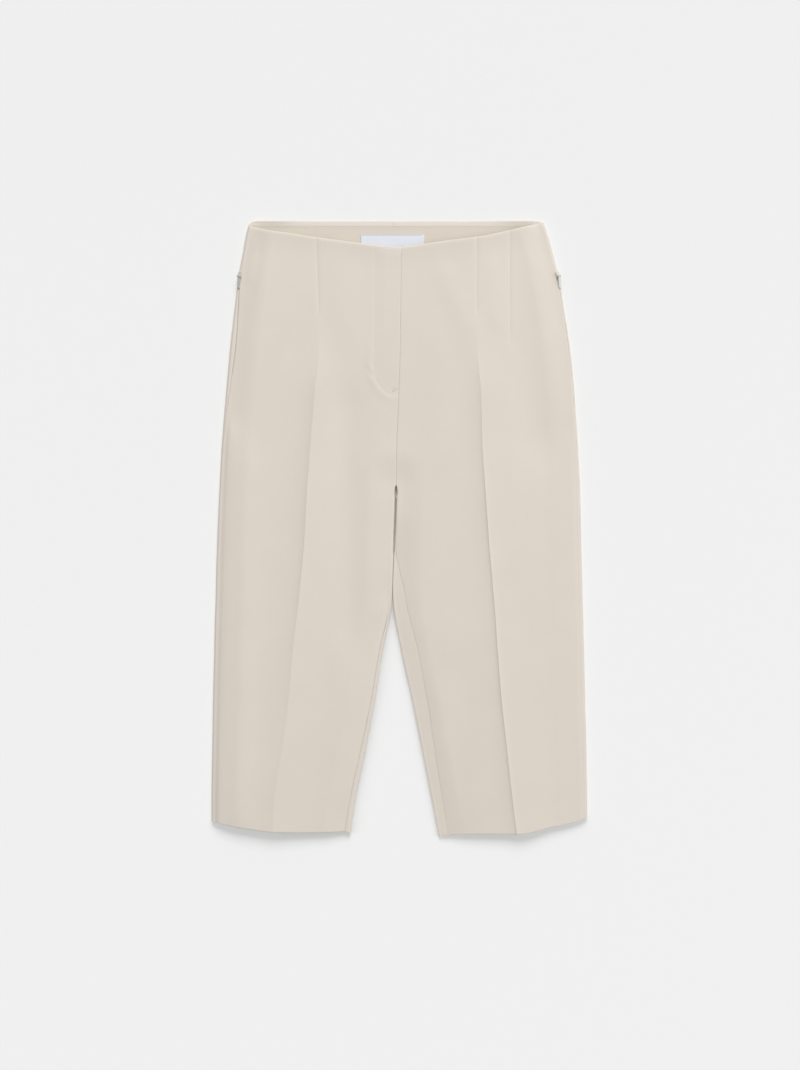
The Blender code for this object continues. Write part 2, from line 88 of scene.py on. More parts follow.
# The outline, as the solids have it
SEAM_GAP = 0.0003
HALF_GAP = SEAM_GAP / 2
WAIST_Y = 0.3905
HEM_Y = -0.3905
WAIST_REACH = 0.0670  # the rows this far below the waist follow its curve
HEM_REACH = 0.0505  # the rows this far above the hem follow its curve
FOLD = 0.0035  # radius of the folds at the sides and along the inner legs
PUFF_HIP = 0.0050  # how far the front stands above the top of the side fold
PUFF_LEG = 0.0030
PUFF_LEG_Y = 0.100  # it is PUFF_LEG below this height and PUFF_HIP from the next one up
PUFF_HIP_Y = 0.300
PUFF_REACH = 0.034
CENTRE_DIP_Y = 0.100  # from here down to the slit, the front falls to the inner folds
SLIT_Y = 0.057  # the slit between the legs starts
FORK_Y = 0.042  # the four seams meet
SEAT_Y = 0.085  # the back's centre edge starts to turn up
CENTRE_BACK_X = -0.0070
# How square the inner folds are at these heights: 1 is round
CORNER_HEIGHTS = (-0.100, -0.050, -0.024)
CORNERS = {"right": (0.70, 0.55, 0.55), "left": (0.70, 0.55, 0.60)}

# What the finished cloth does beyond its solids
SEAM_CLOSED = 0.00010  # how far the sewn edges reach into the seams' gaps
BACK_RISE = 0.0020  # how far the rolled edge of the back's waist stands past its solid
BACK_LIFT = 0.0018  # how far that edge lifts off the table beside the side folds
BACK_ROLL = 0.00085  # how far that edge's inner face falls
SLIT_OPEN = 0.00088  # how far each front draws back from the slit below the fly
SLIT_SHUT = 0.00050  # how far each back closes in under the slit
SLIT_RIDGE = {"right": 0.0023, "left": 0.0009}  # how far each front rises towards the slit
SLIT_RIDGE_END_Y = {"right": -0.125, "left": -0.050}
LEG_FALL = 0.0026  # how far the left leg falls towards its inner edge

# How far each edge of the cloth is rounded, and how far the cloth dips to its seams
WAIST_ROUND = 0.00075
HEM_ROUND = 0.00060
SIDE_ROUND = 0.00030
INSEAM_ROUND = 0.00010
SEAM_DIP = 0.00022
INSEAM_DIP = {"right": 0.00036, "left": 0.00008}  # along the legs
SEAM_WIDTH = 0.0011  # half width of these dips
FRONT_TURNING = 0.0100  # depth of the cloth turned in at the front's waist
HEM_DEPTH = 0.0350
HEM_LAYER = 0.7  # share of a layer that shows at the hem

CREASE_TOP_Y = 0.265
CREASE_FULL_Y = 0.170
# Offset outwards from the crease, and the height where each dart ends
DARTS = {"right": ((0.0, 0.262),), "left": ((0.0, 0.262), (0.042, 0.228))}
DART_FADE = 0.030
DART_SEAM = 0.00040  # depth of a dart's seam
DART_HOLLOW = 0.00030  # depth of the soft hollow round it
DART_POINT = 0.00030  # rise just past its end
BACK_DARTS = (0.078, 0.128)  # across from the centre front, on the back
BACK_DART_END_Y = 0.262
BACK_DART_SEAM = 0.00045
BACK_CREASE = 0.00018  # depth of the crease on the back
WAIST_STAND = 0.00140  # how far the front stands up towards its waist
WAIST_PRESSED = 0.00050  # how far the waist's edge is pressed down

FLY_WIDTH = 0.0325
FLY_CURVE_Y = 0.215
FLY_END_Y = 0.171
FLY_SQUARE = 2.3  # the exponent of the J's curve: 2 is an ellipse
FLY_SINK = 0.00013  # depth of the stitched line
FLY_FIELD = 0.00055  # rise of the layers inside it
FLY_RIDGE = 0.00008  # rise outside it, more round the curve and most beside the curve's upper part
FLY_CURVE_RIDGE = 0.00024
FLY_SIDE_RIDGE = 0.00030
FLY_PIT = 0.00050  # depth of the pit at its lower end

FACING_WALL = 0.0010
FACING_TOP_Y = 0.3850
FACING_PAST = 0.00020  # how far its upper edge closes the seam's gap
FACING_WAVE = 0.00012
LABEL_SIZE = (0.080, 0.022)
LABEL_FACE = 0.00042  # the label's face lies this far under the top of its solid
LABEL_TURNING = 0.0050  # the cloth turned in at its ends
LABEL_SEAM = 0.0007  # the stitches' distance from its upper edge
EDGE_STEP = 0.00015  # spacing of a flat piece's grid along its edges

ZIP_TOP_Y = 0.3235
ZIP_END_Y = 0.190
ZIP_OPEN = 0.00018  # half of what the seam opens along the side zip

# Threads that aren't set by the user: pitch, length and radius of each turn or stitch
ZIP_COIL = (0.0011, 0.0030, 0.00036)
COIL_DEPTH = 0.00135  # under the outer face of the cloth
LABEL_STITCH = (0.0026, 0.0019, 0.00030)
BAR_PITCH = 0.00042
BAR_LENGTH = 0.0020
BAR_SLANT = 0.15
THREAD_SIDES = 6
THREAD_RINGS = 5

# From the waist down: inner is the centre front above the fork and the inner edge of the leg
# below it. seam_in and inseam_in are how far the seams lie in from the outline.
COLUMNS = ("y", "inner", "crease", "side", "seam_in", "inseam_in")
ROWS = {
    "right": (
        (0.3905, 0.0020, -0.1060, -0.1905, 0.0020, 0.0),
        (0.3750, 0.0020, -0.1055, -0.1950, 0.0020, 0.0),
        (0.3550, 0.0020, -0.1050, -0.1985, 0.0020, 0.0),
        (0.3230, 0.0020, -0.1035, -0.2045, 0.0022, 0.0),
        (0.2850, 0.0015, -0.1025, -0.2090, 0.0045, 0.0),
        (0.2330, 0.0010, -0.1020, -0.2150, 0.0070, 0.0),
        (0.1720, -0.0010, -0.1075, -0.2205, 0.0042, 0.0),
        (0.1400, -0.0022, -0.1100, -0.2232, 0.0024, 0.0),
        (0.1110, -0.0035, -0.1125, -0.2255, 0.0010, 0.0),
        (0.0800, -0.0040, -0.1147, -0.2274, 0.0003, 0.0),
        (0.0500, -0.0045, -0.1170, -0.2290, 0.0, 0.0),
        (-0.0220, -0.0070, -0.1210, -0.2320, 0.0, 0.0),
        (-0.0540, -0.0082, -0.1240, -0.2330, 0.0, 0.0002),
        (-0.0800, -0.0092, -0.1265, -0.2335, 0.0, 0.0009),
        (-0.0960, -0.0100, -0.1280, -0.2340, 0.0, 0.0017),
        (-0.1200, -0.0143, -0.1310, -0.2348, 0.0, 0.0031),
        (-0.1530, -0.0210, -0.1350, -0.2355, 0.0, 0.0040),
        (-0.2165, -0.0310, -0.1405, -0.2370, 0.0, 0.0050),
        (-0.2800, -0.0430, -0.1490, -0.2380, 0.0, 0.0060),
        (-0.3435, -0.0560, -0.1585, -0.2390, 0.0, 0.0070),
        (-0.3905, -0.0630, -0.1610, -0.2390, 0.0, 0.0075),
    ),
    "left": (
        (0.3905, 0.0020, 0.0980, 0.1830, 0.0015, 0.0),
        (0.3750, 0.0020, 0.0980, 0.1885, 0.0015, 0.0),
        (0.3550, 0.0020, 0.0980, 0.1940, 0.0015, 0.0),
        (0.3230, 0.0020, 0.0980, 0.2020, 0.0015, 0.0),
        (0.2850, 0.0015, 0.0980, 0.2085, 0.0015, 0.0),
        (0.2330, 0.0010, 0.0985, 0.2165, 0.0018, 0.0),
        (0.1720, -0.0010, 0.1035, 0.2225, 0.0018, 0.0),
        (0.1400, -0.0022, 0.1043, 0.2245, 0.0018, 0.0),
        (0.1110, -0.0035, 0.1050, 0.2265, 0.0018, 0.0),
        (0.0800, -0.0040, 0.1068, 0.2281, 0.0016, 0.0),
        (0.0500, -0.0045, 0.1090, 0.2295, 0.0015, 0.0),
        (-0.0220, -0.0070, 0.1140, 0.2310, 0.0012, 0.0015),
        (-0.0540, -0.0082, 0.1170, 0.2320, 0.0010, 0.0085),
        (-0.0800, -0.0090, 0.1190, 0.2325, 0.0010, 0.0155),
        (-0.0960, -0.0080, 0.1205, 0.2330, 0.0010, 0.0170),
        (-0.1530, 0.0020, 0.1245, 0.2345, 0.0010, 0.0210),
        (-0.2165, 0.0160, 0.1295, 0.2360, 0.0010, 0.0190),
        (-0.2800, 0.0285, 0.1365, 0.2375, 0.0010, 0.0160),
        (-0.3435, 0.0410, 0.1435, 0.2385, 0.0010, 0.0135),
        (-0.3905, 0.0500, 0.1495, 0.2390, 0.0010, 0.0120),
    ),
}

# How far the front's waist edge lies below the back's, and the height of the hem, both from
# the side (share 0) to the centre front or the inner edge (share 1)
WAIST_SHARES = (0.0, 0.010, 0.045, 0.150, 0.300, 0.450, 0.600, 0.750, 0.900, 1.0)
WAIST_DROP = {
    "right": (0.0005, 0.0045, 0.0065, 0.0110, 0.0152, 0.0198, 0.0237, 0.0275, 0.0312, 0.0324),
    "left": (0.0, 0.0006, 0.0020, 0.0060, 0.0123, 0.0180, 0.0218, 0.0254, 0.0298, 0.0324),
}
HEM_SHARES = (0.0, 0.10, 0.25, 0.45, 0.70, 0.96, 1.0)
HEM_HEIGHT = {
    "right": (-0.3705, -0.3750, -0.3795, -0.3840, -0.3850, -0.3840, -0.3865),
    "left": (-0.3660, -0.3725, -0.3785, -0.3865, -0.3865, -0.3890, -0.3905),
}

# The pressed creases: at these heights, shares of their rise for the ridge itself and for the
# sharp edge on top of it, and how far the ridge reaches on the -X side
CREASE_HEIGHTS = (-0.340, -0.220, -0.090, 0.040, 0.165)
CREASE_RIDGE = {"right": (1.50, 1.50, 1.70, 1.70, 1.45), "left": (1.20, 1.20, 1.10, 1.30, 1.20)}
CREASE_SLACK = {"right": (0.038, 0.024, 0.012, 0.012, 0.012), "left": (0.012,) * 5}
CREASE_EDGE = {"right": (0.0, 0.06, 0.08, 0.10, 0.0), "left": (0.24, 0.36, 0.36, 0.32, 0.10)}

# Soft ridges (rise over 0) and troughs of the fronts. Each is a line from
# (x, y) to (to_x, to_y) with this half width and rise.
SWELL_COLUMNS = ("x", "y", "to_x", "to_y", "width", "rise")
SWELLS = (
    (-0.0800, 0.335, -0.0720, 0.265, 0.0200, 0.0008),
    (-0.1180, 0.272, -0.1330, 0.232, 0.0090, -0.0005),
    (-0.0670, 0.150, -0.0640, -0.120, 0.0210, -0.0019),
    (-0.1730, 0.370, -0.1960, 0.120, 0.0170, 0.0006),
    (-0.1960, 0.080, -0.2060, -0.360, 0.0200, 0.0022),
    (-0.2140, 0.120, -0.2280, -0.370, 0.0110, 0.0014),
    (-0.0215, -0.110, -0.0650, -0.330, 0.0160, 0.0012),
    (-0.0700, -0.190, -0.0820, -0.330, 0.0200, 0.0003),
    (0.0600, 0.320, 0.0820, 0.262, 0.0160, 0.0008),
    (0.1180, 0.330, 0.1220, 0.270, 0.0110, 0.0004),
    (0.0480, 0.250, 0.0560, 0.110, 0.0200, 0.0005),
    (0.1440, 0.150, 0.1500, -0.060, 0.0140, 0.0004),
    (0.1440, 0.385, 0.1760, 0.130, 0.0320, -0.0026),
    (0.1810, 0.385, 0.2130, 0.150, 0.0160, 0.0004),
    (0.1910, 0.100, 0.2040, -0.370, 0.0260, -0.0014),
    (0.2190, 0.100, 0.2300, -0.370, 0.0160, 0.0010),
    (0.0780, -0.190, 0.0760, -0.385, 0.0200, -0.0012),
    (0.0640, -0.120, 0.0860, -0.330, 0.0180, 0.0004),
    (-0.1840, 0.362, -0.1900, 0.322, 0.0060, 0.0004),
    (-0.1760, 0.350, -0.1860, 0.300, 0.0050, -0.0003),
)

OUTWARD = {"right": -1, "left": 1}
FIT_ROUNDS = 4  # of fitting the grid's rows to the waist's and the hem's curves
STEP = 0.0002  # for slopes by differences


def smooth_step(x):
    """0 below x = 0, 1 above x = 1, and 3x^2 - 2x^3 between them."""
    x = np.clip(x, 0.0, 1.0)
    return x * x * (3.0 - 2.0 * x)


def bell(x):
    """exp(-x^2): 1 at x = 0 and nearly 0 past x = 2."""
    return np.exp(-np.square(x))


def between(xs, values, x):
    """A smooth curve through the points (xs, values) that never overshoots them.

    Cubic pieces whose slope at each point is the harmonic mean of its neighbours' slopes."""
    xs, values = np.asarray(xs, float), np.asarray(values, float)
    steps = np.diff(xs)
    slopes = np.diff(values) / steps
    product = slopes[:-1] * slopes[1:]
    total = np.where(product > 0, slopes[:-1] + slopes[1:], 1.0)
    tangents = np.concatenate([slopes[:1], np.where(product > 0, 2 * product / total, 0), slopes[-1:]])
    x = np.clip(x, xs[0], xs[-1])
    k = np.clip(np.searchsorted(xs, x) - 1, 0, len(steps) - 1)
    t = (x - xs[k]) / steps[k]
    start = values[k] * (1 + 2 * t) * (1 - t) ** 2 + values[k + 1] * t * t * (3 - 2 * t)
    return start + steps[k] * (tangents[k] * t * (1 - t) ** 2 - tangents[k + 1] * t * t * (1 - t))


def graded(*stops):
    """Places from the first stop to the last. Each stop is (place, spacing there), and the
    spacing runs evenly from stop to stop: the places are where the running integral of
    1 / spacing is a whole share of its total."""
    places, spacings = np.array(stops).T
    fine = np.linspace(places[0], places[-1], 4000)
    density = 1.0 / np.interp(fine, places, spacings)
    count = np.concatenate([[0.0], np.cumsum((density[1:] + density[:-1]) / 2 * np.diff(fine))])
    steps = max(1, round(count[-1]))
    return np.interp(np.linspace(0.0, count[-1], steps + 1), count, fine)


class Half:
    """One half of the garment: its sizes at any height, and its outline as a path."""

    def __init__(self, name):
        self.name = name
        self.sign = OUTWARD[name]
        self.table = np.array(ROWS[name])[::-1]

    def size(self, column, y):
        """One column of the half's table, at any heights."""
        return between(self.table[:, 0], self.table[:, COLUMNS.index(column)], y)

    def inner(self, y):
        """The centre front's x above the fork, and the inner edge's below it."""
        return self.size("inner", y)

    def width(self, y):
        """Distance across from the inner line to the side."""
        return self.sign * (self.size("side", y) - self.inner(y))

    def crease(self, y):
        """Distance across from the inner line to the pressed crease."""
        return self.sign * (self.size("crease", y) - self.inner(y))

    def top_turn(self, y):
        """How far the front's centre edge has turned down: 0 at the waist, a right angle
        from the fork down."""
        return math.pi / 2 * smooth_step((SLIT_Y - y) / (SLIT_Y - FORK_Y))

    def seat_turn(self, y):
        """The same for the back's centre edge, which turns up."""
        return math.pi / 2 * smooth_step((SEAT_Y - y) / (SEAT_Y - FORK_Y))

    def start(self, y):
        """Path place where the inner fold ends and the top begins: FOLD * sin(turn) ^ power."""
        turn = self.top_turn(y)
        return FOLD * np.sin(turn) ** self.power(turn, y)

    def power(self, turn, y):
        """Exponent of the inner fold's sine and cosine: under 1, it is squarer than a circle."""
        return 1.0 - (1.0 - np.interp(y, CORNER_HEIGHTS, CORNERS[self.name])) * turn / (math.pi / 2)

    def end(self, y):
        """Path place where the top ends and the side fold begins."""
        return self.width(y) - FOLD

    def first(self, y):
        """Path place of the inner edge's outermost line, where the front's inner fold starts."""
        return self.start(y) - FOLD * self.top_turn(y)

    def fold_end(self, y):
        """Path place where the side fold has gone half a turn and meets the table."""
        return self.end(y) + math.pi * FOLD

    def centre_back(self, y):
        """The centre-back seam's x: its own place at the waist, the front's at the fork."""
        share = np.clip((y - SEAT_Y) / (WAIST_Y - SEAT_Y), 0.0, 1.0)
        return self.inner(y) + (CENTRE_BACK_X - self.inner(WAIST_Y)) * share

    def seat_across(self, y):
        """Distance across where the table side ends and the inner fold begins: the seam's, plus
        FOLD * sin(turn) ^ power."""
        turn = self.seat_turn(y)
        seam = self.sign * (self.centre_back(y) - self.inner(y))
        return seam + FOLD * np.sin(turn) ** self.power(turn, y)

    def seat_start(self, y):
        """Path place of the same: the side fold's end plus the way back across the table."""
        return self.fold_end(y) + self.end(y) - self.seat_across(y)

    def total(self, y):
        """Path place where the back's inner fold ends: its start plus FOLD * turn."""
        return self.seat_start(y) + FOLD * self.seat_turn(y)

    def top_height(self, across, y):
        """z of the front's outer face: the side fold's top, plus a puff that rises over
        PUFF_REACH from each fold."""
        as_leg = 1.0 - smooth_step((y - SLIT_Y) / (CENTRE_DIP_Y - SLIT_Y))
        hip = smooth_step((y - PUFF_LEG_Y) / (PUFF_HIP_Y - PUFF_LEG_Y))
        puff = PUFF_LEG + (PUFF_HIP - PUFF_LEG) * hip
        from_side = smooth_step((self.end(y) - across) / PUFF_REACH)
        from_inner = smooth_step((across - FOLD) / PUFF_REACH)
        return 2 * FOLD + puff * from_side * (1.0 - as_leg * (1.0 - from_inner))

    def across_z(self, place, y):
        """The (across, z) point at a place along the path, at heights y. The folds are
        FOLD * sin(angle) and FOLD * cos(angle), raised to a power at the inner legs."""
        wrapped = (y <= FORK_Y) & (place > self.total(y))
        place = np.where(wrapped, place - self.total(y) + self.first(y), place)
        start, end, fold_end = self.start(y), self.end(y), self.fold_end(y)
        seat_start, seat_across = self.seat_start(y), self.seat_across(y)
        turn = np.clip((start - place) / FOLD, 0.0, math.pi / 2)
        side = np.clip((place - end) / FOLD, 0.0, math.pi)
        seat = np.clip((place - seat_start) / FOLD, 0.0, math.pi / 2)
        top_power = self.power(self.top_turn(y), y)
        seat_power = self.power(self.seat_turn(y), y)
        inner_fold = (
            start - FOLD * np.sin(turn) ** top_power,
            self.top_height(start, y) - FOLD * (1.0 - np.cos(turn) ** top_power),
        )
        top = (place, self.top_height(place, y))
        side_fold = (end + FOLD * np.sin(side), FOLD + FOLD * np.cos(side))
        table = (end - (place - fold_end), 0.0 * place)
        seat_fold = (
            seat_across - FOLD * np.sin(seat) ** seat_power,
            FOLD * (1.0 - np.cos(seat) ** seat_power),
        )
        zones = [place < start, place <= end, place <= fold_end, place <= seat_start]
        choices = zip(inner_fold, top, side_fold, table, seat_fold)
        return tuple(np.select(zones, [*near], last) for *near, last in choices)

    def side_seam(self, y):
        """Path place of the side seam: across from the inner edge to the top, then by angle."""
        across = self.width(y) - self.size("seam_in", y)
        angle = np.arcsin(np.clip((across - self.end(y)) / FOLD, 0.0, 1.0))
        return np.where(across <= self.end(y), across, self.end(y) + FOLD * angle)

    def inseam(self, y):
        """Path place of the inseam, or of the centre front above the fork."""
        inseam_in, start = self.size("inseam_in", y), self.start(y)
        turn = self.top_turn(y)
        share = np.clip((start - inseam_in) / FOLD, 0.0, 1.0)
        angle = np.minimum(np.arcsin(share ** (1.0 / self.power(turn, y))), turn)
        return np.where(inseam_in < start, start - FOLD * angle, inseam_in)

    def waist_edge(self, place, y):
        """Height of the waist's edge above this place. The front's is lower by a smooth curve
        through WAIST_DROP, by the share of the way from the side. Past the side it rises over
        10 mm to the back's, which is level."""
        share = np.clip(1.0 - self.across_z(place, y)[0] / self.width(y), 0.0, 1.0)
        past_side = place - self.end(y) - FOLD * math.pi / 2
        drop = np.where(past_side <= 0.0, between(WAIST_SHARES, WAIST_DROP[self.name], share), 0.0)
        return WAIST_Y - drop + BACK_RISE * smooth_step(past_side / 0.010)

    def hem_edge(self, place, y):
        """Height of the hem's edge below this place: a smooth curve through HEM_HEIGHT, by the
        share of the way from the side."""
        share = np.clip(1.0 - self.across_z(place, y)[0] / self.width(y), 0.0, 1.0)
        return between(HEM_SHARES, HEM_HEIGHT[self.name], share)

    def corner_lift(self, past_fold, y):
        """How far the back's waist stands off the table, at a distance in from the side fold:
        the square of 1 - d / 16 mm below the edge, times a bell."""
        near = bell((past_fold - 0.030) / 0.032) * smooth_step(past_fold / 0.012)
        return BACK_LIFT * np.clip(1.0 - (WAIST_Y + BACK_RISE - y) / 0.016, 0.0, 1.0) ** 2 * near

    def fitted(self, ring, place, y):
        """The ring's heights plus what the waist's and the hem's curves are off their even
        heights, each times a share that falls evenly to 0 over its reach."""
        near_waist = np.clip((ring - WAIST_Y) / WAIST_REACH + 1.0, 0.0, 1.0)
        near_hem = np.clip((HEM_Y - ring) / HEM_REACH + 1.0, 0.0, 1.0)
        waist, hem = self.waist_edge(place, y), self.hem_edge(place, y)
        return ring + near_waist * (waist - WAIST_Y) + near_hem * (hem - HEM_Y)

    def slit(self, place, y):
        """How far the inner edge draws back from the slit below the fly. Below the fork, the
        backs join the fronts' edges and close in under them, near the table."""
        drawn = smooth_step((SLIT_Y - y) / 0.0030) * smooth_step((y + 0.036) / 0.012)
        front = SLIT_OPEN * (1.0 + 0.35 * bell((y - 0.0480) / 0.0080))
        up = smooth_step(((place - self.seat_start(y)) / (FOLD * math.pi / 2) - 0.6) / 0.4)
        back = (up * front - (1.0 - up) * SLIT_SHUT) * smooth_step((FORK_Y - y) / 0.006)
        return drawn * np.where(place < self.end(y), front, back)

    def inner_rise(self, place, y):
        """How far the cloth stands up towards the inner edge: a bell beside the slit and, on
        the left leg, less than 0, as exp(-d / 14 mm). The fold's heights keep their shares."""
        across, z = self.across_z(place, y)
        inwards = np.maximum(across - FOLD, 0.0)
        above_end = smooth_step((y - SLIT_RIDGE_END_Y[self.name]) / 0.080)
        beside = smooth_step((0.130 - y) / 0.095) * above_end
        rise = SLIT_RIDGE[self.name] * beside * bell(inwards / 0.025)
        if self.name == "left":
            rise = rise - LEG_FALL * smooth_step((0.020 - y) / 0.060) * np.exp(-inwards / 0.014)
        return rise * np.clip(z / (2 * FOLD), 0.0, 1.0)

    def base_point(self, place, y):
        """World points of the smooth outer face."""
        across, z = self.across_z(place, y)
        drawn = self.slit(place, y) * (1.0 - smooth_step(across / 0.030))
        x = self.inner(y) + self.sign * (across + HALF_GAP + drawn)
        return np.stack([x, y + 0.0 * place, z], axis=-1)

    def surface(self, place, y):
        """World points of the smooth outer face and its outward normals, by differences."""
        along = self.base_point(place + STEP, y) - self.base_point(place - STEP, y)
        up = self.base_point(place, y + STEP) - self.base_point(place, y - STEP)
        normal = self.sign * np.cross(along, up)
        normal /= np.linalg.norm(normal, axis=-1, keepdims=True)
        return self.base_point(place, y), normal


HALVES = {name: Half(name) for name in OUTWARD}

# The grids' spacing. Each stop is (distance, spacing there).
FRONT_ROW_STOPS = (
    (0.0, 0.00012), (0.0020, 0.0005), (0.0120, 0.0012), (0.0250, 0.0030), (0.1560, 0.0036),
    (0.1640, 0.0009), (0.2240, 0.0009), (0.2340, 0.0036), (0.3230, 0.0036), (0.3340, 0.0012),
    (0.3510, 0.0011), (0.3750, 0.0036), (0.4500, 0.0048), (0.7200, 0.0048), (0.7660, 0.0020),
    (0.7785, 0.0005), (0.7810, 0.00012),
)  # fmt: skip
BACK_ROW_STOPS = (
    (0.0, 0.00012), (0.0020, 0.0005), (0.0054, 0.0003), (0.0074, 0.0003), (0.0130, 0.0020),
    (0.0400, 0.0045), (0.2900, 0.0055), (0.3050, 0.0020), (0.3510, 0.0011), (0.3750, 0.0034),
    (0.4500, 0.0050), (0.7200, 0.0050), (0.7660, 0.0022), (0.7785, 0.0005), (0.7810, 0.00012),
)  # fmt: skip


class ClothPanel:
    """A front or a back: a wall of cloth between its inner edge and its side seam."""

    def __init__(self, half, side):
        self.half = half
        self.side = side
        self.wall = cloth_settings().wall

    def zip_slot(self, y):
        """Half of what the seam opens along the side zip."""
        inside = smooth_step((y - ZIP_END_Y) / 0.012) * smooth_step((ZIP_TOP_Y + 0.004 - y) / 0.006)
        return ZIP_OPEN * inside

    def turned_in(self, waist, y):
        """Share of a second layer, where the cloth is turned in at the waist: down to the
        facing on the back, and FRONT_TURNING deep on the front."""
        if self.side == "back":
            return smooth_step((y - FACING_TOP_Y - SEAM_GAP) / 0.0003)
        return 1.0 - smooth_step((waist - FRONT_TURNING) / 0.0004 + 1.0)

    def first(self, y):
        """Path place of the first edge: a back's at the side seam, a front's at the inseam."""
        half = self.half
        if self.side == "back":
            return half.side_seam(y) + HALF_GAP - SEAM_CLOSED + self.zip_slot(y)
        return half.inseam(y) + HALF_GAP * half.top_turn(y) / (math.pi / 2) - SEAM_CLOSED

    def last(self, y):
        """Path place of the last edge: a front's at the side seam, a back's at the inseam, which
        lies further on round the inner fold from the fork down."""
        half = self.half
        if self.side == "front":
            return half.side_seam(y) - HALF_GAP + SEAM_CLOSED - self.zip_slot(y)
        wrapped = np.where(y <= FORK_Y, half.inseam(y) - half.first(y), 0.0)
        return half.total(y) + wrapped - HALF_GAP * half.seat_turn(y) / (math.pi / 2) + SEAM_CLOSED

    def column_stops(self):
        """(line, offset from it, spacing there), from the first edge to the last."""
        first, last, crease = self.first, self.last, self.half.crease
        near = [(first, 0.0, 0.00014), (first, 0.0012, 0.00035), (first, 0.0050, 0.0008)]
        far = [(last, -0.0050, 0.0008), (last, -0.0012, 0.00035), (last, 0.0, 0.00014)]
        if self.side == "front":
            by_fly = 0.0008 if self.half.name == "right" else 0.0022
            stops = [
                *near,
                (first, 0.0365, by_fly), (first, 0.0420, 0.0024), (crease, -0.0160, 0.0030),
                (crease, -0.0030, 0.0004), (crease, -0.0006, 0.0003), (crease, 0.0030, 0.0005),
                (crease, 0.0120, 0.0026),
            ]  # fmt: skip
            for offset, _ in DARTS[self.half.name][1:]:
                stops += [(crease, offset + step, spacing) for step, spacing in self.dart_steps()]
            return [*stops, (last, -0.0180, 0.0030), *far]
        fold_end = self.half.fold_end
        stops = [
            *near[:-1], (first, 0.0030, 0.0007), (fold_end, 0.0, 0.0008), (fold_end, 0.0080, 0.0040)
        ]  # fmt: skip
        for across in reversed(BACK_DARTS):
            stops += [(self.table_place(across), step, spacing) for step, spacing in self.dart_steps()]
        return [*stops, (self.inner_fold, -0.0120, 0.0040), (self.inner_fold, 0.0, 0.0007), *far]

    def inner_fold(self, y):
        """Where the back starts to rise into the inner leg's fold, clear of its last columns."""
        return np.minimum(self.half.seat_start(y), self.last(y) - 0.0062)

    @staticmethod
    def dart_steps():
        """(distance from a dart, spacing there)."""
        return ((-0.0100, 0.0028), (-0.0010, 0.0004), (0.0010, 0.0004), (0.0100, 0.0028))

    def table_place(self, across):
        """The line of path places on the table side at this distance across."""
        half = self.half
        return lambda y: half.fold_end(y) + half.end(y) - across * half.width(y) / half.width(WAIST_Y)

    def grid(self):
        """Place and height of every point. Each column keeps its share of the way between two
        stops at every height, and the shares are worked out where the stops lie furthest apart."""
        rows = {"front": FRONT_ROW_STOPS, "back": BACK_ROW_STOPS}[self.side]
        ring = (WAIST_Y - graded(*rows))[:, None]
        stops, parts = self.column_stops(), []
        heights = np.linspace(HEM_Y, WAIST_Y, 30)
        for (line, offset, spacing), (to_line, to_offset, to_spacing) in zip(stops, stops[1:]):
            length = float((to_line(heights) + to_offset - line(heights) - offset).max())
            share = graded((0.0, spacing), (length, to_spacing)) / length
            parts.append((line, offset, to_line, to_offset, share[bool(parts) :]))
        y = np.repeat(ring, sum(len(part[-1]) for part in parts), axis=1)
        for _ in range(FIT_ROUNDS):
            place = self.place_columns(parts, y)
            y = self.half.fitted(ring, place, y)
        return self.place_columns(parts, y), y

    @staticmethod
    def place_columns(parts, y):
        """Each column's place: its share of the way from one stop's line to the next."""
        place, done = np.empty_like(y), 0
        for line, offset, to_line, to_offset, share in parts:
            at = slice(done, done + len(share))
            low, high = line(y[:, at]) + offset, to_line(y[:, at]) + to_offset
            place[:, at] = low + share * (high - low)
            done += len(share)
        return place

    def relief(self, place, y):
        """Rise of the outer face along its normal."""
        if self.side == "back":
            return back_relief(self.half, place, y)
        return front_relief(self.half, place, y)

    def outer(self, place, y):
        """Points of the outer face away from the edges, and its normals."""
        point, normal = self.half.surface(place, y)
        return point + normal * self.relief(place, y)[..., None], normal

    def walls(self, place, y):
        """Points of the outer and of the inner face. The wall is doubled where the cloth is
        turned in at the waist and the hem. Its edges are rounded, the sewn ones less so, and
        these dip towards their seam. The back's waist rolls over away from the sides: its
        inner face falls to the edge as the square of 1 - d / 9.5 mm."""
        half = self.half
        waist, hem = half.waist_edge(place, y) - y, y - half.hem_edge(place, y)
        turned_hem = HEM_LAYER * (1.0 - smooth_step((hem - HEM_DEPTH) / 0.0040))
        wall = self.wall * (1.0 + self.turned_in(waist, y) + turned_hem)
        ends = place - self.first(y), self.last(y) - place
        inseam, side_seam = ends if self.side == "front" else ends[::-1]
        depth = np.interp(y, (-0.10, 0.03), (INSEAM_DIP[half.name], SEAM_DIP))
        closing = np.maximum(rounding(waist, WAIST_ROUND), rounding(hem, HEM_ROUND))
        closing = np.maximum(closing, rounding(side_seam, SIDE_ROUND))
        closing = np.maximum(closing, rounding(inseam, INSEAM_ROUND + 0.6 * depth))
        dip = SEAM_DIP * bell(side_seam / SEAM_WIDTH) + depth * bell(inseam / SEAM_WIDTH)
        past_fold = place - half.fold_end(y)
        inwards = smooth_step((past_fold - 0.012) / 0.050) * (self.side == "back")
        roll = BACK_ROLL * np.clip(1.0 - waist / 0.0095, 0.0, 1.0) ** 2 * inwards
        point, normal = self.outer(place, y)
        point[..., 2] += half.inner_rise(place, y)
        if self.side == "back":
            point[..., 2] += half.corner_lift(past_fold, y)
        outer = point - normal * (dip + closing)[..., None]
        inner = point - normal * (dip + wall - closing - roll)[..., None]
        return outer, inner


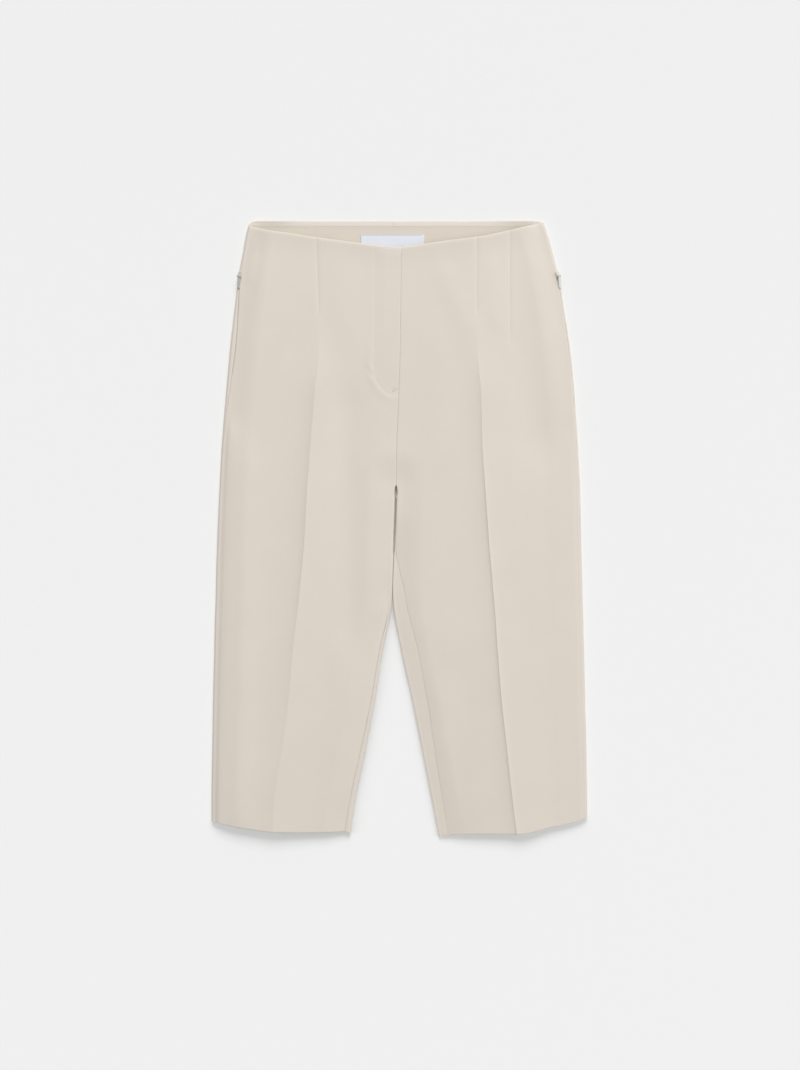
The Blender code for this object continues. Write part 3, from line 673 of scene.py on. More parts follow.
def rounding(edge, radius):
    """How far a face closes in at a distance from its edge: R - sqrt(R^2 - (R - edge)^2)."""
    return radius * (1.0 - np.sqrt(1.0 - np.clip(1.0 - edge / radius, 0.0, 0.985) ** 2))


def front_relief(half, place, y):
    """Rise of a front's outer face, the sum of: the crease's shape times its rise; for each
    dart, a seam sunk in as exp(-d / 0.7 mm), a bell round it and a bump past its end; the waist,
    which stands up as the square of 1 - d / 30 mm and is pressed down at its edge as that of
    1 - d / 4.5 mm; the fly; and the soft folds."""
    cloth = cloth_settings()
    off = place - half.crease(y)
    waist = half.waist_edge(place, y) - y
    pressed = smooth_step((CREASE_TOP_Y - y) / (CREASE_TOP_Y - CREASE_FULL_Y))
    to_sides = smooth_step((half.end(y) - place) / 0.0065) * smooth_step((place - FOLD) / 0.0065)
    rise = cloth.crease_rise * pressed * to_sides * crease_shape(half, half.sign * off, y)
    for offset, end_y in DARTS[half.name]:
        sewn = smooth_step((y - end_y) / DART_FADE)
        away = off - offset
        seam = DART_SEAM * np.exp(-np.abs(away) / 0.0007) + DART_HOLLOW * bell(away / 0.0035)
        rise = rise - sewn * seam
        rise = rise + DART_POINT * bell(away / 0.010) * bell((y - end_y + 0.006) / 0.014)
    stands = np.clip(1.0 - waist / 0.030, 0.0, 1.0) ** 2 * smooth_step((half.end(y) - place) / 0.020)
    rise = rise + WAIST_STAND * stands - WAIST_PRESSED * np.clip(1.0 - waist / 0.0045, 0.0, 1.0) ** 2
    if half.name == "right":
        rise = rise + fly_relief(place, y, waist)
    x = half.inner(y) + half.sign * place
    return rise + cloth.folds * swells(x, y) * to_sides


def crease_shape(half, aside, y):
    """Share of the crease's rise at a distance towards +X from it. On the -X side it falls off
    as exp(-d / slack). On the +X side it is 0.65 of the square of 1 - d / reach and 0.35 of a
    smooth step down over that reach. The edge that the iron has pressed stands on it as
    exp(-d / 1.3 mm) on the -X side and exp(-d / 2.5 mm) on the other."""
    run = np.clip(aside / np.interp(y, (-0.38, -0.10, 0.20), (0.060, 0.046, 0.050)), 0.0, 1.0)
    far = 0.65 * (1.0 - run) ** 2 + 0.35 * (1.0 - smooth_step(run))
    slack = np.interp(y, CREASE_HEIGHTS, CREASE_SLACK[half.name])
    ridge = np.where(aside < 0.0, np.exp(np.minimum(aside, 0.0) / slack), far)
    edge = np.exp(-np.abs(aside) / np.where(aside < 0.0, 0.0013, 0.0025))
    ridge = ridge * np.interp(y, CREASE_HEIGHTS, CREASE_RIDGE[half.name])
    return ridge + edge * np.interp(y, CREASE_HEIGHTS, CREASE_EDGE[half.name])


def fly_distance(across, y):
    """Distance outside the J-shaped line of the fly's stitches, less than 0 in the fly. The
    line is (across / W)^n + (down / H)^n = 1, with down = 0 above the curve."""
    down = np.maximum(FLY_CURVE_Y - y, 0.0) / (FLY_CURVE_Y - FLY_END_Y)
    reach = np.maximum(across, 1e-5) / FLY_WIDTH
    level = (reach**FLY_SQUARE + down**FLY_SQUARE) ** (1.0 / FLY_SQUARE)
    slope_across = reach ** (FLY_SQUARE - 1) / FLY_WIDTH
    slope_down = down ** (FLY_SQUARE - 1) / (FLY_CURVE_Y - FLY_END_Y)
    steepness = np.hypot(slope_across, slope_down) / np.maximum(level, 1e-3) ** (FLY_SQUARE - 1)
    return (level - 1.0) / np.maximum(steepness, 1e-3)


def fly_relief(across, y, waist):
    """Rise round the fly's stitches, by the distance from their line: a bell sunk in at the line,
    a field of layers inside it that comes up over 14 mm, a bell outside it whose height comes
    and goes as two sines along the curve, and a pit at the lower end."""
    out = fly_distance(across, y)
    curve = smooth_step((FLY_CURVE_Y + 0.030 - y) / 0.030)
    beside = smooth_step((y - FLY_END_Y - 0.004) / 0.020)
    run = (y - across) * 2 * math.pi
    patches = 0.80 + 0.18 * np.sin(run / 0.0210 + 0.6) + 0.12 * np.sin(run / 0.0130 + 2.0)
    line = -FLY_SINK * bell(out / 0.0014)
    field = FLY_FIELD * smooth_step(-out / 0.014) * smooth_step((y - FLY_END_Y) / 0.050)
    height = FLY_RIDGE + curve * patches * (FLY_CURVE_RIDGE + FLY_SIDE_RIDGE * beside)
    ridge = height * bell((out - 0.0056) / 0.0048)
    pit = -FLY_PIT * bell((across - 0.0050) / 0.0040) * bell((y - FLY_END_Y - 0.0060) / 0.0019)
    return (line + field + ridge + pit) * smooth_step(waist / 0.012)


def swells(x, y):
    """Soft ridges and troughs: each rises by rise * exp(-(d / width)^2) at a distance d from
    its line, and fades past the line's ends."""
    total = np.zeros(np.broadcast(x, y).shape)
    for row in SWELLS:
        swell = dict(zip(SWELL_COLUMNS, row))
        along = np.array([swell["to_x"] - swell["x"], swell["to_y"] - swell["y"]])
        length = np.hypot(*along)
        along /= length
        run = (x - swell["x"]) * along[0] + (y - swell["y"]) * along[1]
        aside = (x - swell["x"]) * along[1] - (y - swell["y"]) * along[0]
        past = np.maximum(np.maximum(-run, run - length), 0.0)
        total += swell["rise"] * bell(aside / swell["width"]) * bell(past / (1.6 * swell["width"]))
    return total


def back_relief(half, place, y):
    """Rise of a back's outer face: its darts and its crease are grooves, depth * exp(-d / width)
    at a distance d from their lines, where the cloth lies on the table."""
    across = half.fold_end(y) + half.end(y) - place
    scale = half.width(y) / half.width(WAIST_Y)
    below = smooth_step((across - FOLD) / 0.010) * smooth_step((place - half.fold_end(y)) / 0.010)
    sewn = smooth_step((y - BACK_DART_END_Y) / DART_FADE) * smooth_step((WAIST_Y - 0.006 - y) / 0.012)
    sunk = BACK_CREASE * smooth_step((CREASE_FULL_Y - y) / 0.080)
    sunk = sunk * np.exp(-np.abs(across - half.crease(y)) / 0.0010)
    for dart in BACK_DARTS:
        sunk = sunk + BACK_DART_SEAM * sewn * np.exp(-np.abs(across - dart * scale) / 0.0008)
    return -sunk * below


def grid_faces(corner):
    """Four-sided faces between the neighbours of a grid of vertex numbers."""
    faces = np.stack([corner[:-1, :-1], corner[:-1, 1:], corner[1:, 1:], corner[1:, :-1]], axis=-1)
    return faces.reshape(-1, 4)


def make_mesh(name, points, faces, uv, **attributes):
    """A smooth mesh of four-sided faces, with its UV map and other values for each vertex."""
    mesh = bpy.data.meshes.new(name)
    mesh.vertices.add(len(points))
    mesh.vertices.foreach_set("co", points.astype(np.float32).ravel())
    mesh.loops.add(faces.size)
    mesh.loops.foreach_set("vertex_index", faces.astype(np.int32).ravel())
    mesh.polygons.add(len(faces))
    mesh.polygons.foreach_set("loop_start", np.arange(0, faces.size, 4, dtype=np.int32))
    mesh.update(calc_edges=True)
    layer = mesh.uv_layers.new(name="cloth")
    layer.data.foreach_set("uv", uv[faces.ravel()].astype(np.float32).ravel())
    for key, values in attributes.items():
        mesh.attributes.new(key, "FLOAT", "POINT").data.foreach_set("value", values.astype(np.float32))
    mesh.shade_smooth()
    mesh.validate()
    return mesh


def add_piece(name, mesh, finish, replaces=()):
    """Puts a finished mesh into the scene, on the garment and in place of its solids."""
    piece = bpy.data.objects.new(name, mesh)
    bpy.context.scene.collection.objects.link(piece)
    mesh.materials.append(finish_named(finish))
    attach(piece, "garment")
    if replaces:
        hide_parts(*replaces)
    return piece


def wall_mesh(name, outer, inner, uv, **attributes):
    """The closed wall between two grids that run alike. Its faces are turned to look the way
    that the outer grid lies from the inner one."""
    rows, columns = outer.shape[:2]
    corner = np.arange(rows * columns).reshape(rows, columns)
    rim = np.concatenate([corner[0, :-1], corner[:-1, -1], corner[-1, :0:-1], corner[::-1, 0]])
    sides = grid_faces(np.stack([rim, rim + corner.size]))
    faces = [grid_faces(corner), grid_faces(corner + corner.size)[:, ::-1], sides[:, ::-1]]
    faces = np.concatenate(faces)
    points = np.concatenate([outer.reshape(-1, 3), inner.reshape(-1, 3)])
    row, column = rows // 2, columns // 2
    here, right, down = outer[row, column], outer[row, column + 1], outer[row + 1, column]
    if np.dot(np.cross(right - here, down - here), here - inner[row, column]) < 0:
        faces = faces[:, ::-1]
    attributes = {key: np.tile(values.ravel(), 2) for key, values in attributes.items()}
    return make_mesh(name, points, faces, np.tile(uv.reshape(-1, 2), (2, 1)), **attributes)


def add_panel(name):
    """A front or a back as a sheet of cloth in place of its solid."""
    half_name, side = name.split("_")
    panel = ClothPanel(HALVES[half_name], side)
    place, y = panel.grid()
    outer, inner = panel.walls(place, y)
    off = place - panel.half.crease(y)
    pressed = smooth_step((CREASE_TOP_Y - y) / 0.1) * np.exp(-np.abs(off) / 0.004) * (side == "front")
    mesh = wall_mesh(f"{name}_cloth", outer, inner, np.stack([place, y], axis=-1), pressed=pressed)
    piece = add_piece(f"{name}_cloth", mesh, "cream_crepe", [name])


def flat_wall(name, x, y, z, wall, edge):
    """A flat cloth piece, from x, y and z of its upper face on a grid. Both faces close in
    towards its edges, by a quarter round of this radius."""
    edge_rows = np.minimum(np.abs(y - y[:1]), np.abs(y - y[-1:]))
    edge_columns = np.minimum(np.abs(x - x[:, :1]), np.abs(x - x[:, -1:]))
    closing = rounding(np.minimum(edge_rows, edge_columns), edge)
    outer = np.stack([x, y, z - closing], axis=-1)
    inner = np.stack([x, y, z - wall + closing], axis=-1)
    return wall_mesh(name, outer, inner, np.stack([x, y], axis=-1))


def edge_graded(length, fine, coarse):
    """Shares from 0 to 1 along a length, closer together at both ends."""
    reach = min(0.006, length / 3)
    return graded((0.0, fine), (reach, coarse), (length - reach, coarse), (length, fine)) / length


def thread_mesh(name, points, along, normal, length, radius):
    """One stitch at each point: a thread of this length whose ends dive into the cloth. Its
    centreline is z = radius / 2 * (1 - 3 (2t)^4) for t from -1/2 to 1/2."""
    t = np.linspace(-0.5, 0.5, THREAD_RINGS)[:, None]
    angle = np.arange(THREAD_SIDES) * 2 * math.pi / THREAD_SIDES
    taper = radius * (1.0 - 0.6 * (2 * t) ** 4)
    ring_x = t + 0.0 * angle
    ring_z = radius * (1.0 - 3.0 * (2 * t) ** 4) * 0.5 + taper * np.sin(angle)
    parts = (
        (along, ring_x * length),
        (np.cross(normal, along), taper * np.cos(angle)),
        (normal, ring_z),
    )
    stitches = points[:, None, None] + sum(
        direction[:, None, None] * ring[None, ..., None] for direction, ring in parts
    )
    count = THREAD_RINGS * THREAD_SIDES
    corner = np.arange(count).reshape(THREAD_RINGS, THREAD_SIDES)
    tube = grid_faces(np.concatenate([corner, corner[:, :1]], axis=1))
    ends = np.array([[0, 3, 2, 1], [0, 5, 4, 3]])
    caps = np.concatenate([ends[:, ::-1], ends + count - THREAD_SIDES])
    one = np.concatenate([tube[:, ::-1], caps[:, ::-1]])
    faces = (one[None] + count * np.arange(len(points))[:, None, None]).reshape(-1, 4)
    run = np.broadcast_to(ring_x * length, (len(points), *ring_x.shape))
    round_it = np.broadcast_to(angle * radius, run.shape)
    uv = np.stack([round_it, run], axis=-1).reshape(-1, 2)
    return make_mesh(name, stitches.reshape(-1, 3), faces, uv)


def evenly_along(points, pitch):
    """Points every pitch along a line of points, with the direction at each."""
    steps = np.linalg.norm(np.diff(points, axis=0), axis=1)
    run = np.concatenate([[0.0], np.cumsum(steps)])
    places = np.arange(pitch / 2, run[-1], pitch)
    spaced, ahead = (
        np.stack([np.interp(at, run, values) for values in points.T], axis=-1)
        for at in (places, places + pitch / 4)
    )
    along = ahead - spaced
    return spaced, along / np.maximum(np.linalg.norm(along, axis=1, keepdims=True), 1e-9)


# --- Materials -------------------------------------------------------------------------------


class Finish:
    """A material whose node tree is filled in by short calls."""

    def __init__(self, name):
        self.material = bpy.data.materials.new(name)
        self.material.use_nodes = True
        self.tree = self.material.node_tree
        self.tree.nodes.clear()
        self.shader = self.node("ShaderNodeBsdfPrincipled")
        output = self.node("ShaderNodeOutputMaterial")
        self.tree.links.new(self.shader.outputs[0], output.inputs["Surface"])

    def feed(self, socket, value):
        """Links an output to an input socket, or sets its value."""
        if isinstance(value, bpy.types.NodeSocket):
            self.tree.links.new(value, socket)
        else:
            socket.default_value = value

    def node(self, kind, **inputs):
        """A node, with values or links for the inputs that are named."""
        node = self.tree.nodes.new(kind)
        for key, value in inputs.items():
            self.feed(node.inputs[key], value)
        return node

    def math(self, operation, *values):
        node = self.tree.nodes.new("ShaderNodeMath")
        node.operation = operation
        for socket, value in zip(node.inputs, values):
            self.feed(socket, value)
        return node.outputs[0]

    def times_plus(self, value, factor, offset):
        """value * factor + offset."""
        return self.math("MULTIPLY_ADD", value, factor, offset)

    def uv(self):
        node = self.node("ShaderNodeUVMap")
        node.uv_map = "cloth"
        return node.outputs[0]

    def object_place(self):
        return self.node("ShaderNodeTexCoord").outputs["Object"]

    def split(self, place):
        """The x, y and z of a place."""
        return self.node("ShaderNodeSeparateXYZ", Vector=place).outputs

    def noise(self, place, scale, detail=2.0, roughness=0.5, output=0):
        """Cloudy noise at a place: its share from 0 to 1, or its colour as output 1."""
        values = {"Vector": place, "Scale": scale, "Detail": detail, "Roughness": roughness}
        return self.node("ShaderNodeTexNoise", **values).outputs[output]

    def scaled(self, place, scale):
        return self.node("ShaderNodeMapping", Vector=place, Scale=scale).outputs[0]

    def weave(self, place, pitch):
        """Height of a plain weave: sin(pi x / pitch) * sin(pi y / pitch), with threads that
        wander by about half the pitch."""
        wander = self.noise(place, 0.22 / pitch, 1.0, output=1)
        shift = self.tree.nodes.new("ShaderNodeVectorMath")
        shift.operation = "MULTIPLY_ADD"
        for socket, value in zip(shift.inputs, (wander, (0.96 * pitch,) * 3, place)):
            self.feed(socket, value)
        x, y, _ = self.split(shift.outputs[0])
        waves = [self.math("SINE", self.math("MULTIPLY", axis, math.pi / pitch)) for axis in (x, y)]
        return self.times_plus(self.math("MULTIPLY", *waves), 0.5, 0.5)

    def tones(self, share, colour, low, high, warmth=0.0):
        """The colour at two brightnesses, by a share from 0 to 1. The low one has a little more
        red and less blue."""
        red, green, blue = (channel * low for channel in colour)
        node = self.tree.nodes.new("ShaderNodeMix")
        node.data_type = "RGBA"
        self.feed(node.inputs[0], share)
        self.feed(node.inputs[6], (red * (1 + warmth), green, blue * (1 - warmth), 1.0))
        self.feed(node.inputs[7], (*(channel * high for channel in colour), 1.0))
        return node.outputs[2]

    def done(self, colour, roughness, bump=None, **inputs):
        """The material, with its colour, roughness, (height, depth, strength) of the bump, and
        values for the shader's other inputs."""
        sockets = {"Base Color": colour, "Roughness": roughness, **inputs}
        if bump:
            keys = ("Height", "Distance", "Strength")
            sockets["Normal"] = self.node("ShaderNodeBump", **dict(zip(keys, bump))).outputs[0]
        for key, value in sockets.items():
            self.feed(self.shader.inputs[key.replace("_", " ")], value)
        return self.material


def crepe_finish(name, colour, pitch):
    """Matt crepe suiting: a plain weave of hard-twisted threads with a fine pebbled face, faint
    cloudiness, and a polish where the iron has pressed the crease."""
    finish = Finish(name)
    place = finish.uv()
    weave = finish.weave(place, pitch)
    pebble = finish.noise(place, 1.0 / 0.0012, 3.0, 0.6)
    slub = finish.noise(finish.scaled(place, (60.0, 900.0, 1.0)), 1.0)
    cloudy = finish.noise(place, 1.0 / 0.045, 3.0, 0.55)
    tone = finish.times_plus(cloudy, 0.55, finish.math("MULTIPLY", weave, 0.20))
    tone = finish.math("ADD", tone, finish.math("MULTIPLY", slub, 0.25))
    tone = finish.times_plus(pebble, 0.20, tone)
    pressed = finish.node("ShaderNodeAttribute")
    pressed.attribute_name = "pressed"
    roughness = finish.times_plus(pebble, 0.12, 0.80)
    return finish.done(
        finish.tones(tone, colour, 0.955, 1.035, 0.006),
        finish.times_plus(pressed.outputs["Fac"], -0.12, roughness),
        (finish.times_plus(pebble, 0.9, weave), 0.00006, 0.55),
        Sheen_Weight=0.10,
        Sheen_Roughness=0.60,
        Specular_IOR_Level=0.20,
    )


def satin_finish(name, colour):
    """Woven satin tape: long floats along the label, in fine ribs."""
    finish = Finish(name)
    place = finish.object_place()
    ribs = finish.noise(finish.scaled(place, (260.0, 5200.0, 1.0)), 1.0)
    cloudy = finish.noise(place, 90.0)
    tone = finish.times_plus(ribs, 0.6, finish.math("MULTIPLY", cloudy, 0.4))
    return finish.done(
        finish.tones(tone, colour, 0.93, 1.04),
        finish.times_plus(ribs, 0.2, 0.34),
        (ribs, 0.00005, 0.5),
        Sheen_Weight=0.15,
        Specular_IOR_Level=0.45,
    )


def thread_finish(name, colour):
    """Twisted polyester thread: strands that wind round it, and a soft gloss."""
    finish = Finish(name)
    around, along, _ = finish.split(finish.uv())
    wound = finish.times_plus(along, 2 * math.pi / 0.0006, 0.0)
    wound = finish.times_plus(around, 2 * math.pi / 0.0006, wound)
    twist = finish.times_plus(finish.math("SINE", wound), 0.5, 0.5)
    return finish.done(
        finish.tones(twist, colour, 0.86, 1.05),
        finish.times_plus(twist, -0.1, 0.55),
        (twist, 0.00005, 0.6),
        Sheen_Weight=0.1,
    )


def tape_finish(name, colour):
    """Zip tape: a herringbone of fine ribs across its length."""
    finish = Finish(name)
    x, y, _ = finish.split(finish.object_place())
    along = finish.times_plus(finish.math("PINGPONG", x, 0.0009), 1.2, y)
    rib = finish.math("SINE", finish.math("MULTIPLY", along, 2 * math.pi / 0.0007))
    rib = finish.times_plus(rib, 0.5, 0.5)
    return finish.done(
        finish.tones(rib, colour, 0.88, 1.05),
        finish.times_plus(rib, 0.1, 0.7),
        (rib, 0.00008, 0.6),
        Sheen_Weight=0.1,
    )


def steel_finish(name, colour):
    """Satin plated metal: fine lengthwise brushing, a little worn and smoother in patches."""
    finish = Finish(name)
    place = finish.object_place()
    brushed = finish.noise(finish.scaled(place, (9000.0, 500.0, 9000.0)), 1.0, 3.0)
    worn = finish.noise(place, 420.0)
    tone = finish.times_plus(brushed, 0.5, finish.math("MULTIPLY", worn, 0.5))
    return finish.done(
        finish.tones(tone, colour, 0.80, 1.15),
        finish.times_plus(worn, 0.12, finish.times_plus(brushed, 0.20, 0.32)),
        (brushed, 0.00002, 0.4),
        Metallic=0.35,
    )


def floor_finish(name, colour, glow):
    """A pale studio sweep that lights itself a little, more so away from the key light, so that
    it stays even."""
    finish = Finish(name)
    place = finish.object_place()
    grain = finish.noise(place, 60.0)
    near = finish.math("MINIMUM", finish.math("MAXIMUM", finish.split(place)[1], -1.0), 1.0)
    return finish.done(
        finish.tones(grain, colour, 0.995, 1.005),
        1.0,
        Specular_IOR_Level=0.0,
        Emission_Color=(1.0, 1.0, 1.0, 1.0),
        Emission_Strength=finish.times_plus(near, -0.062, glow),
    )


def finish_named(name):
    """The garment's material of this name, made when it is first asked for."""
    if name in bpy.data.materials:
        return bpy.data.materials[name]
    cloth, trim = cloth_settings(), trim_settings()
    makers = {
        "cream_crepe": lambda: crepe_finish(name, cloth.colour, cloth.weave_pitch),
        # the facing's crepe is the cloth's crepe made darker: painted shade for the inside of the back's
        # waist
        "shaded_facing_crepe": lambda: crepe_finish(name, cloth.shaded_facing_colour, cloth.weave_pitch),
        "label_satin": lambda: satin_finish(name, trim.label_colour),
        "tonal_thread": lambda: thread_finish(name, trim.thread_colour),
        "grey_thread": lambda: thread_finish(name, trim.label_thread_colour),
        "zip_tape": lambda: tape_finish(name, trim.tape_colour),
        "satin_steel": lambda: steel_finish(name, trim.metal_colour),
    }
    return makers[name]()


def repaint(node, name):
    """Gives a carried-over solid a finish of the scene's own."""
    solid = frame["nodes"][node]
    for slot in solid.material_slots:
        slot.material = finish_named(name)


# --- Sizes and colours that a user may change ------------------------------------------------


def colour_property(name, description, default):
    return FloatVectorProperty(
        name=name, description=description, default=default, subtype="COLOR", size=3, min=0.0, max=1.0
    )


def length_property(name, description, default, low, high):
    limits = {"default": default, "min": low, "max": high}
    return FloatProperty(name=name, description=description, unit="LENGTH", precision=5, **limits)


def amount_property(name, description, default, **more):
    return FloatProperty(name=name, description=description, default=default, min=0.0, **more)


class TrousersClothSettings(bpy.types.PropertyGroup):
    """The cloth, its creases and its folds."""

    colour: colour_property("Cloth", "Colour of the crepe", (0.722, 0.664, 0.588))
    # A darker copy of the cloth's colour: painted shade for the inside of the back's waist, which lies
    # under the front
    shaded_facing_colour: colour_property("Facing", "Colour of the facing at the waist", (0.690, 0.628, 0.548))
    wall: length_property("Thickness", "Thickness of one layer of cloth", 0.0012, 0.0006, 0.0030)
    weave_pitch: length_property("Weave", "Distance from thread to thread", 0.00045, 0.0002, 0.0030)
    crease_rise: length_property("Crease", "Rise of the pressed creases", 0.0025, 0.0, 0.0040)
    folds: amount_property("Folds", "Strength of the soft folds", 1.0, max=2.0, subtype="FACTOR")


class TrousersTrimSettings(bpy.types.PropertyGroup):
    """Label, thread and zips."""

    label_colour: colour_property("Label", "Colour of the woven label", (0.76, 0.79, 0.85))
    thread_colour: colour_property("Thread", "Colour of the sewing thread", (0.66, 0.60, 0.53))
    label_thread_colour: colour_property("Label thread", "Colour of its stitches", (0.13, 0.13, 0.14))
    tape_colour: colour_property("Zip tape", "Colour of the zip tape", (0.62, 0.57, 0.50))
    metal_colour: colour_property("Metal", "Colour of the sliders and pulls", (0.68, 0.67, 0.62))
    stitch_length: length_property("Stitch", "Length of a stitch that shows", 0.0022, 0.0010, 0.0050)
    stitch_pitch: length_property("Stitch pitch", "From stitch to stitch", 0.0028, 0.0012, 0.0060)
    thread_radius: length_property("Thread radius", "Radius of the sewing thread", 0.00012, 0.00005, 0.0005)


class TrousersStageSettings(bpy.types.PropertyGroup):
    """Camera, floor and lights."""

    camera_height: length_property("Camera height", "Of the camera over the floor", 3.2, 1.0, 10.0)
    floor_colour: colour_property("Floor", "Colour of the floor", (0.62, 0.62, 0.62))
    floor_glow: amount_property("Floor glow", "Light of the floor's own", 0.129)
    key_power: amount_property("Key", "The light beyond the waist", 1008.0, subtype="POWER")
    side_power: amount_property("Side fill", "The light from the side", 190.0, subtype="POWER")
    floor_power: amount_property("Floor fill", "Each light on the floor", 235.0, subtype="POWER")
    inner_power: amount_property("Inner fill", "The low light from the hems", 220.0, subtype="POWER")
    sky: amount_property("Sky", "Brightness of the even light all round", 0.324)


def cloth_settings():
    return bpy.context.scene.trousers_cloth


def trim_settings():
    return bpy.context.scene.trousers_trim


def stage_settings():
    return bpy.context.scene.trousers_stage


# --- Pieces ----------------------------------------------------------------------------------


class TROUSERS_OT_backs(bpy.types.Operator):
    """Lay both backs on the table, round the side folds and up the inner legs"""

    bl_idname = "trousers.backs"
    bl_label = "Backs"

    def execute(self, context):
        for half in HALVES:
            add_panel(f"{half}_back")
        return {"FINISHED"}


class TROUSERS_OT_fronts(bpy.types.Operator):
    """Lay both fronts over the backs, with creases, darts, fly and folds"""

    bl_idname = "trousers.fronts"
    bl_label = "Fronts"

    def execute(self, context):
        for half in HALVES:
            add_panel(f"{half}_front")
        return {"FINISHED"}


class TROUSERS_OT_facings(bpy.types.Operator):
    """Lay the facings inside the back's waist, either side of the centre-back seam"""

    bl_idname = "trousers.facings"
    bl_label = "Back facings"

    def execute(self, context):
        # Each runs from the centre-back seam to the side. Its face is a bell lower just under
        # its upper edge, waves as a sine across, and lifts with the back's corner.
        for half in HALVES.values():
            name = f"{half.name}_back_facing"
            low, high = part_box(name)
            top_y = high.y + SEAM_GAP + FACING_PAST
            y = low.y + (top_y - low.y) * edge_graded(top_y - low.y, EDGE_STEP, 0.0012)[:, None]
            share = edge_graded(high.x - low.x, EDGE_STEP, 0.0022)[None, :]
            seam_x = half.centre_back(y) + half.sign * 0.00002
            side_x = half.size("side", y) - half.sign * (FOLD + FACING_WALL)
            x = seam_x + (side_x - seam_x) * share
            y = y + 0.0 * x
            rolled = 0.00005 * bell((y - top_y + 0.0035) / 0.0016)
            wave = FACING_WAVE * np.sin(x * 2 * math.pi / 0.067 + 1.3) * smooth_step((high.y - y) / 0.02)
            lift = half.corner_lift(half.end(y) - half.sign * (x - half.inner(y)), y)
            z = high.z - rolled + wave + lift - FACING_WAVE
            mesh = flat_wall(f"{name}_cloth", x, y, z, FACING_WALL - 0.0002, 0.00010)
            # its crepe is darker than that of the fronts and backs: painted shade inside the waist
            piece = add_piece(f"{name}_cloth", mesh, "shaded_facing_crepe", [name])
        return {"FINISHED"}


class TROUSERS_OT_label(bpy.types.Operator):
    """Sew the bare woven label to the back facing by its upper edge"""

    bl_idname = "trousers.label"
    bl_label = "Label"

    def execute(self, context):
        low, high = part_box("label")
        width, depth = LABEL_SIZE
        y = low.y + depth * edge_graded(depth, EDGE_STEP, 0.0009)[:, None]
        x = low.x + width * edge_graded(width, EDGE_STEP, 0.0011)[None, :]
        x, y = x + 0.0 * y, y + 0.0 * x
        # Its face is higher over the turned-in ends, a bell lower along the stitches, and
        # waves as a sine across, less and less towards the stitches.
        folded = 1.0 - smooth_step((np.minimum(x - low.x, high.x - x) - LABEL_TURNING) / 0.0006)
        sewn = bell((high.y - LABEL_SEAM - y) / 0.0010)
        z = high.z - LABEL_FACE + 0.00010 * folded - 0.00012 * sewn
        z = z + 0.00010 * np.sin(x * 2 * math.pi / 0.031) * smooth_step((high.y - y) / 0.012)
        mesh = flat_wall("woven_label", x, y, z, 0.0006, 0.0002)
        piece = add_piece("woven_label", mesh, "label_satin", ["label"])
        pitch, length, radius = LABEL_STITCH
        at = high.y - LABEL_SEAM, high.z - LABEL_FACE
        ends = np.array([(low.x + 0.0006, *at), (high.x - 0.0006, *at)])
        points, along = evenly_along(ends, pitch)
        up = np.tile([0.0, 0.0, 1.0], (len(points), 1))
        threads = thread_mesh("label_stitches", points, along, up, length, radius)
        stitches = add_piece("label_stitches", threads, "grey_thread")
        return {"FINISHED"}


class TROUSERS_OT_zips(bpy.types.Operator):
    """Lay the coils on the side zips' tapes, and finish sliders, pulls and the fly zip"""

    bl_idname = "trousers.zips"
    bl_label = "Zips"

    def execute(self, context):
        pitch, length, radius = ZIP_COIL
        for half in HALVES.values():
            y = np.arange(ZIP_END_Y + 0.001, ZIP_TOP_Y - 0.001, pitch)
            place = half.side_seam(y)
            point, normal = half.surface(place, y)
            ahead = half.base_point(place + STEP, y) - half.base_point(place - STEP, y)
            along = ahead / np.linalg.norm(ahead, axis=1, keepdims=True)
            name = f"{half.name}_zip_coil"
            coil = thread_mesh(name, point - normal * COIL_DEPTH, along, normal, length, radius)
            add_piece(name, coil, "tonal_thread")
            repaint(f"{half.name}_zip_chain", "zip_tape")
            repaint(f"{half.name}_zip_slider", "satin_steel")
            repaint(f"{half.name}_zip_pull", "satin_steel")
        repaint("fly_zip", "zip_tape")
        return {"FINISHED"}


class TROUSERS_OT_sewing(bpy.types.Operator):
    """Topstitch the fly along its J and bar it at the bottom"""

    bl_idname = "trousers.sewing"
    bl_label = "Sewing"

    def execute(self, context):
        trim = trim_settings()
        panel = ClothPanel(HALVES["right"], "front")
        top_y = float(panel.half.waist_edge(np.array(FLY_WIDTH), np.array(0.36))) - 0.0010
        straight = np.linspace(top_y, FLY_CURVE_Y, 60)
        turn = np.linspace(0.0, math.pi / 2 - 0.10, 80)[1:]
        curve_place = FLY_WIDTH * np.cos(turn) ** (2 / FLY_SQUARE)
        curve_y = FLY_CURVE_Y - (FLY_CURVE_Y - FLY_END_Y) * np.sin(turn) ** (2 / FLY_SQUARE)
        place = np.concatenate([np.full(60, FLY_WIDTH), curve_place])
        spaced, along = evenly_along(
            np.stack([place, np.concatenate([straight, curve_y])], axis=-1), trim.stitch_pitch
        )
        point, normal = panel.outer(*spaced.T)
        ahead = panel.outer(*(spaced + along * STEP).T)[0]
        along = (ahead - point) / np.linalg.norm(ahead - point, axis=1, keepdims=True)
        radius = trim.thread_radius
        threads = (point - normal * 0.6 * radius, along, normal, trim.stitch_length, radius)
        add_piece("fly_stitches", thread_mesh("fly_stitches", *threads), "tonal_thread")
        bar = np.stack([np.linspace(0.0030, 0.0085, 20), np.full(20, FLY_END_Y + 0.0045)], axis=-1)
        point, normal = panel.outer(*evenly_along(bar, BAR_PITCH)[0].T)
        across = np.tile([BAR_SLANT, 1.0, 0.0], (len(point), 1)) / math.hypot(BAR_SLANT, 1.0)
        threads = (point, across, normal, BAR_LENGTH, radius * 1.2)
        add_piece("fly_bar", thread_mesh("fly_bar", *threads), "tonal_thread")
        return {"FINISHED"}


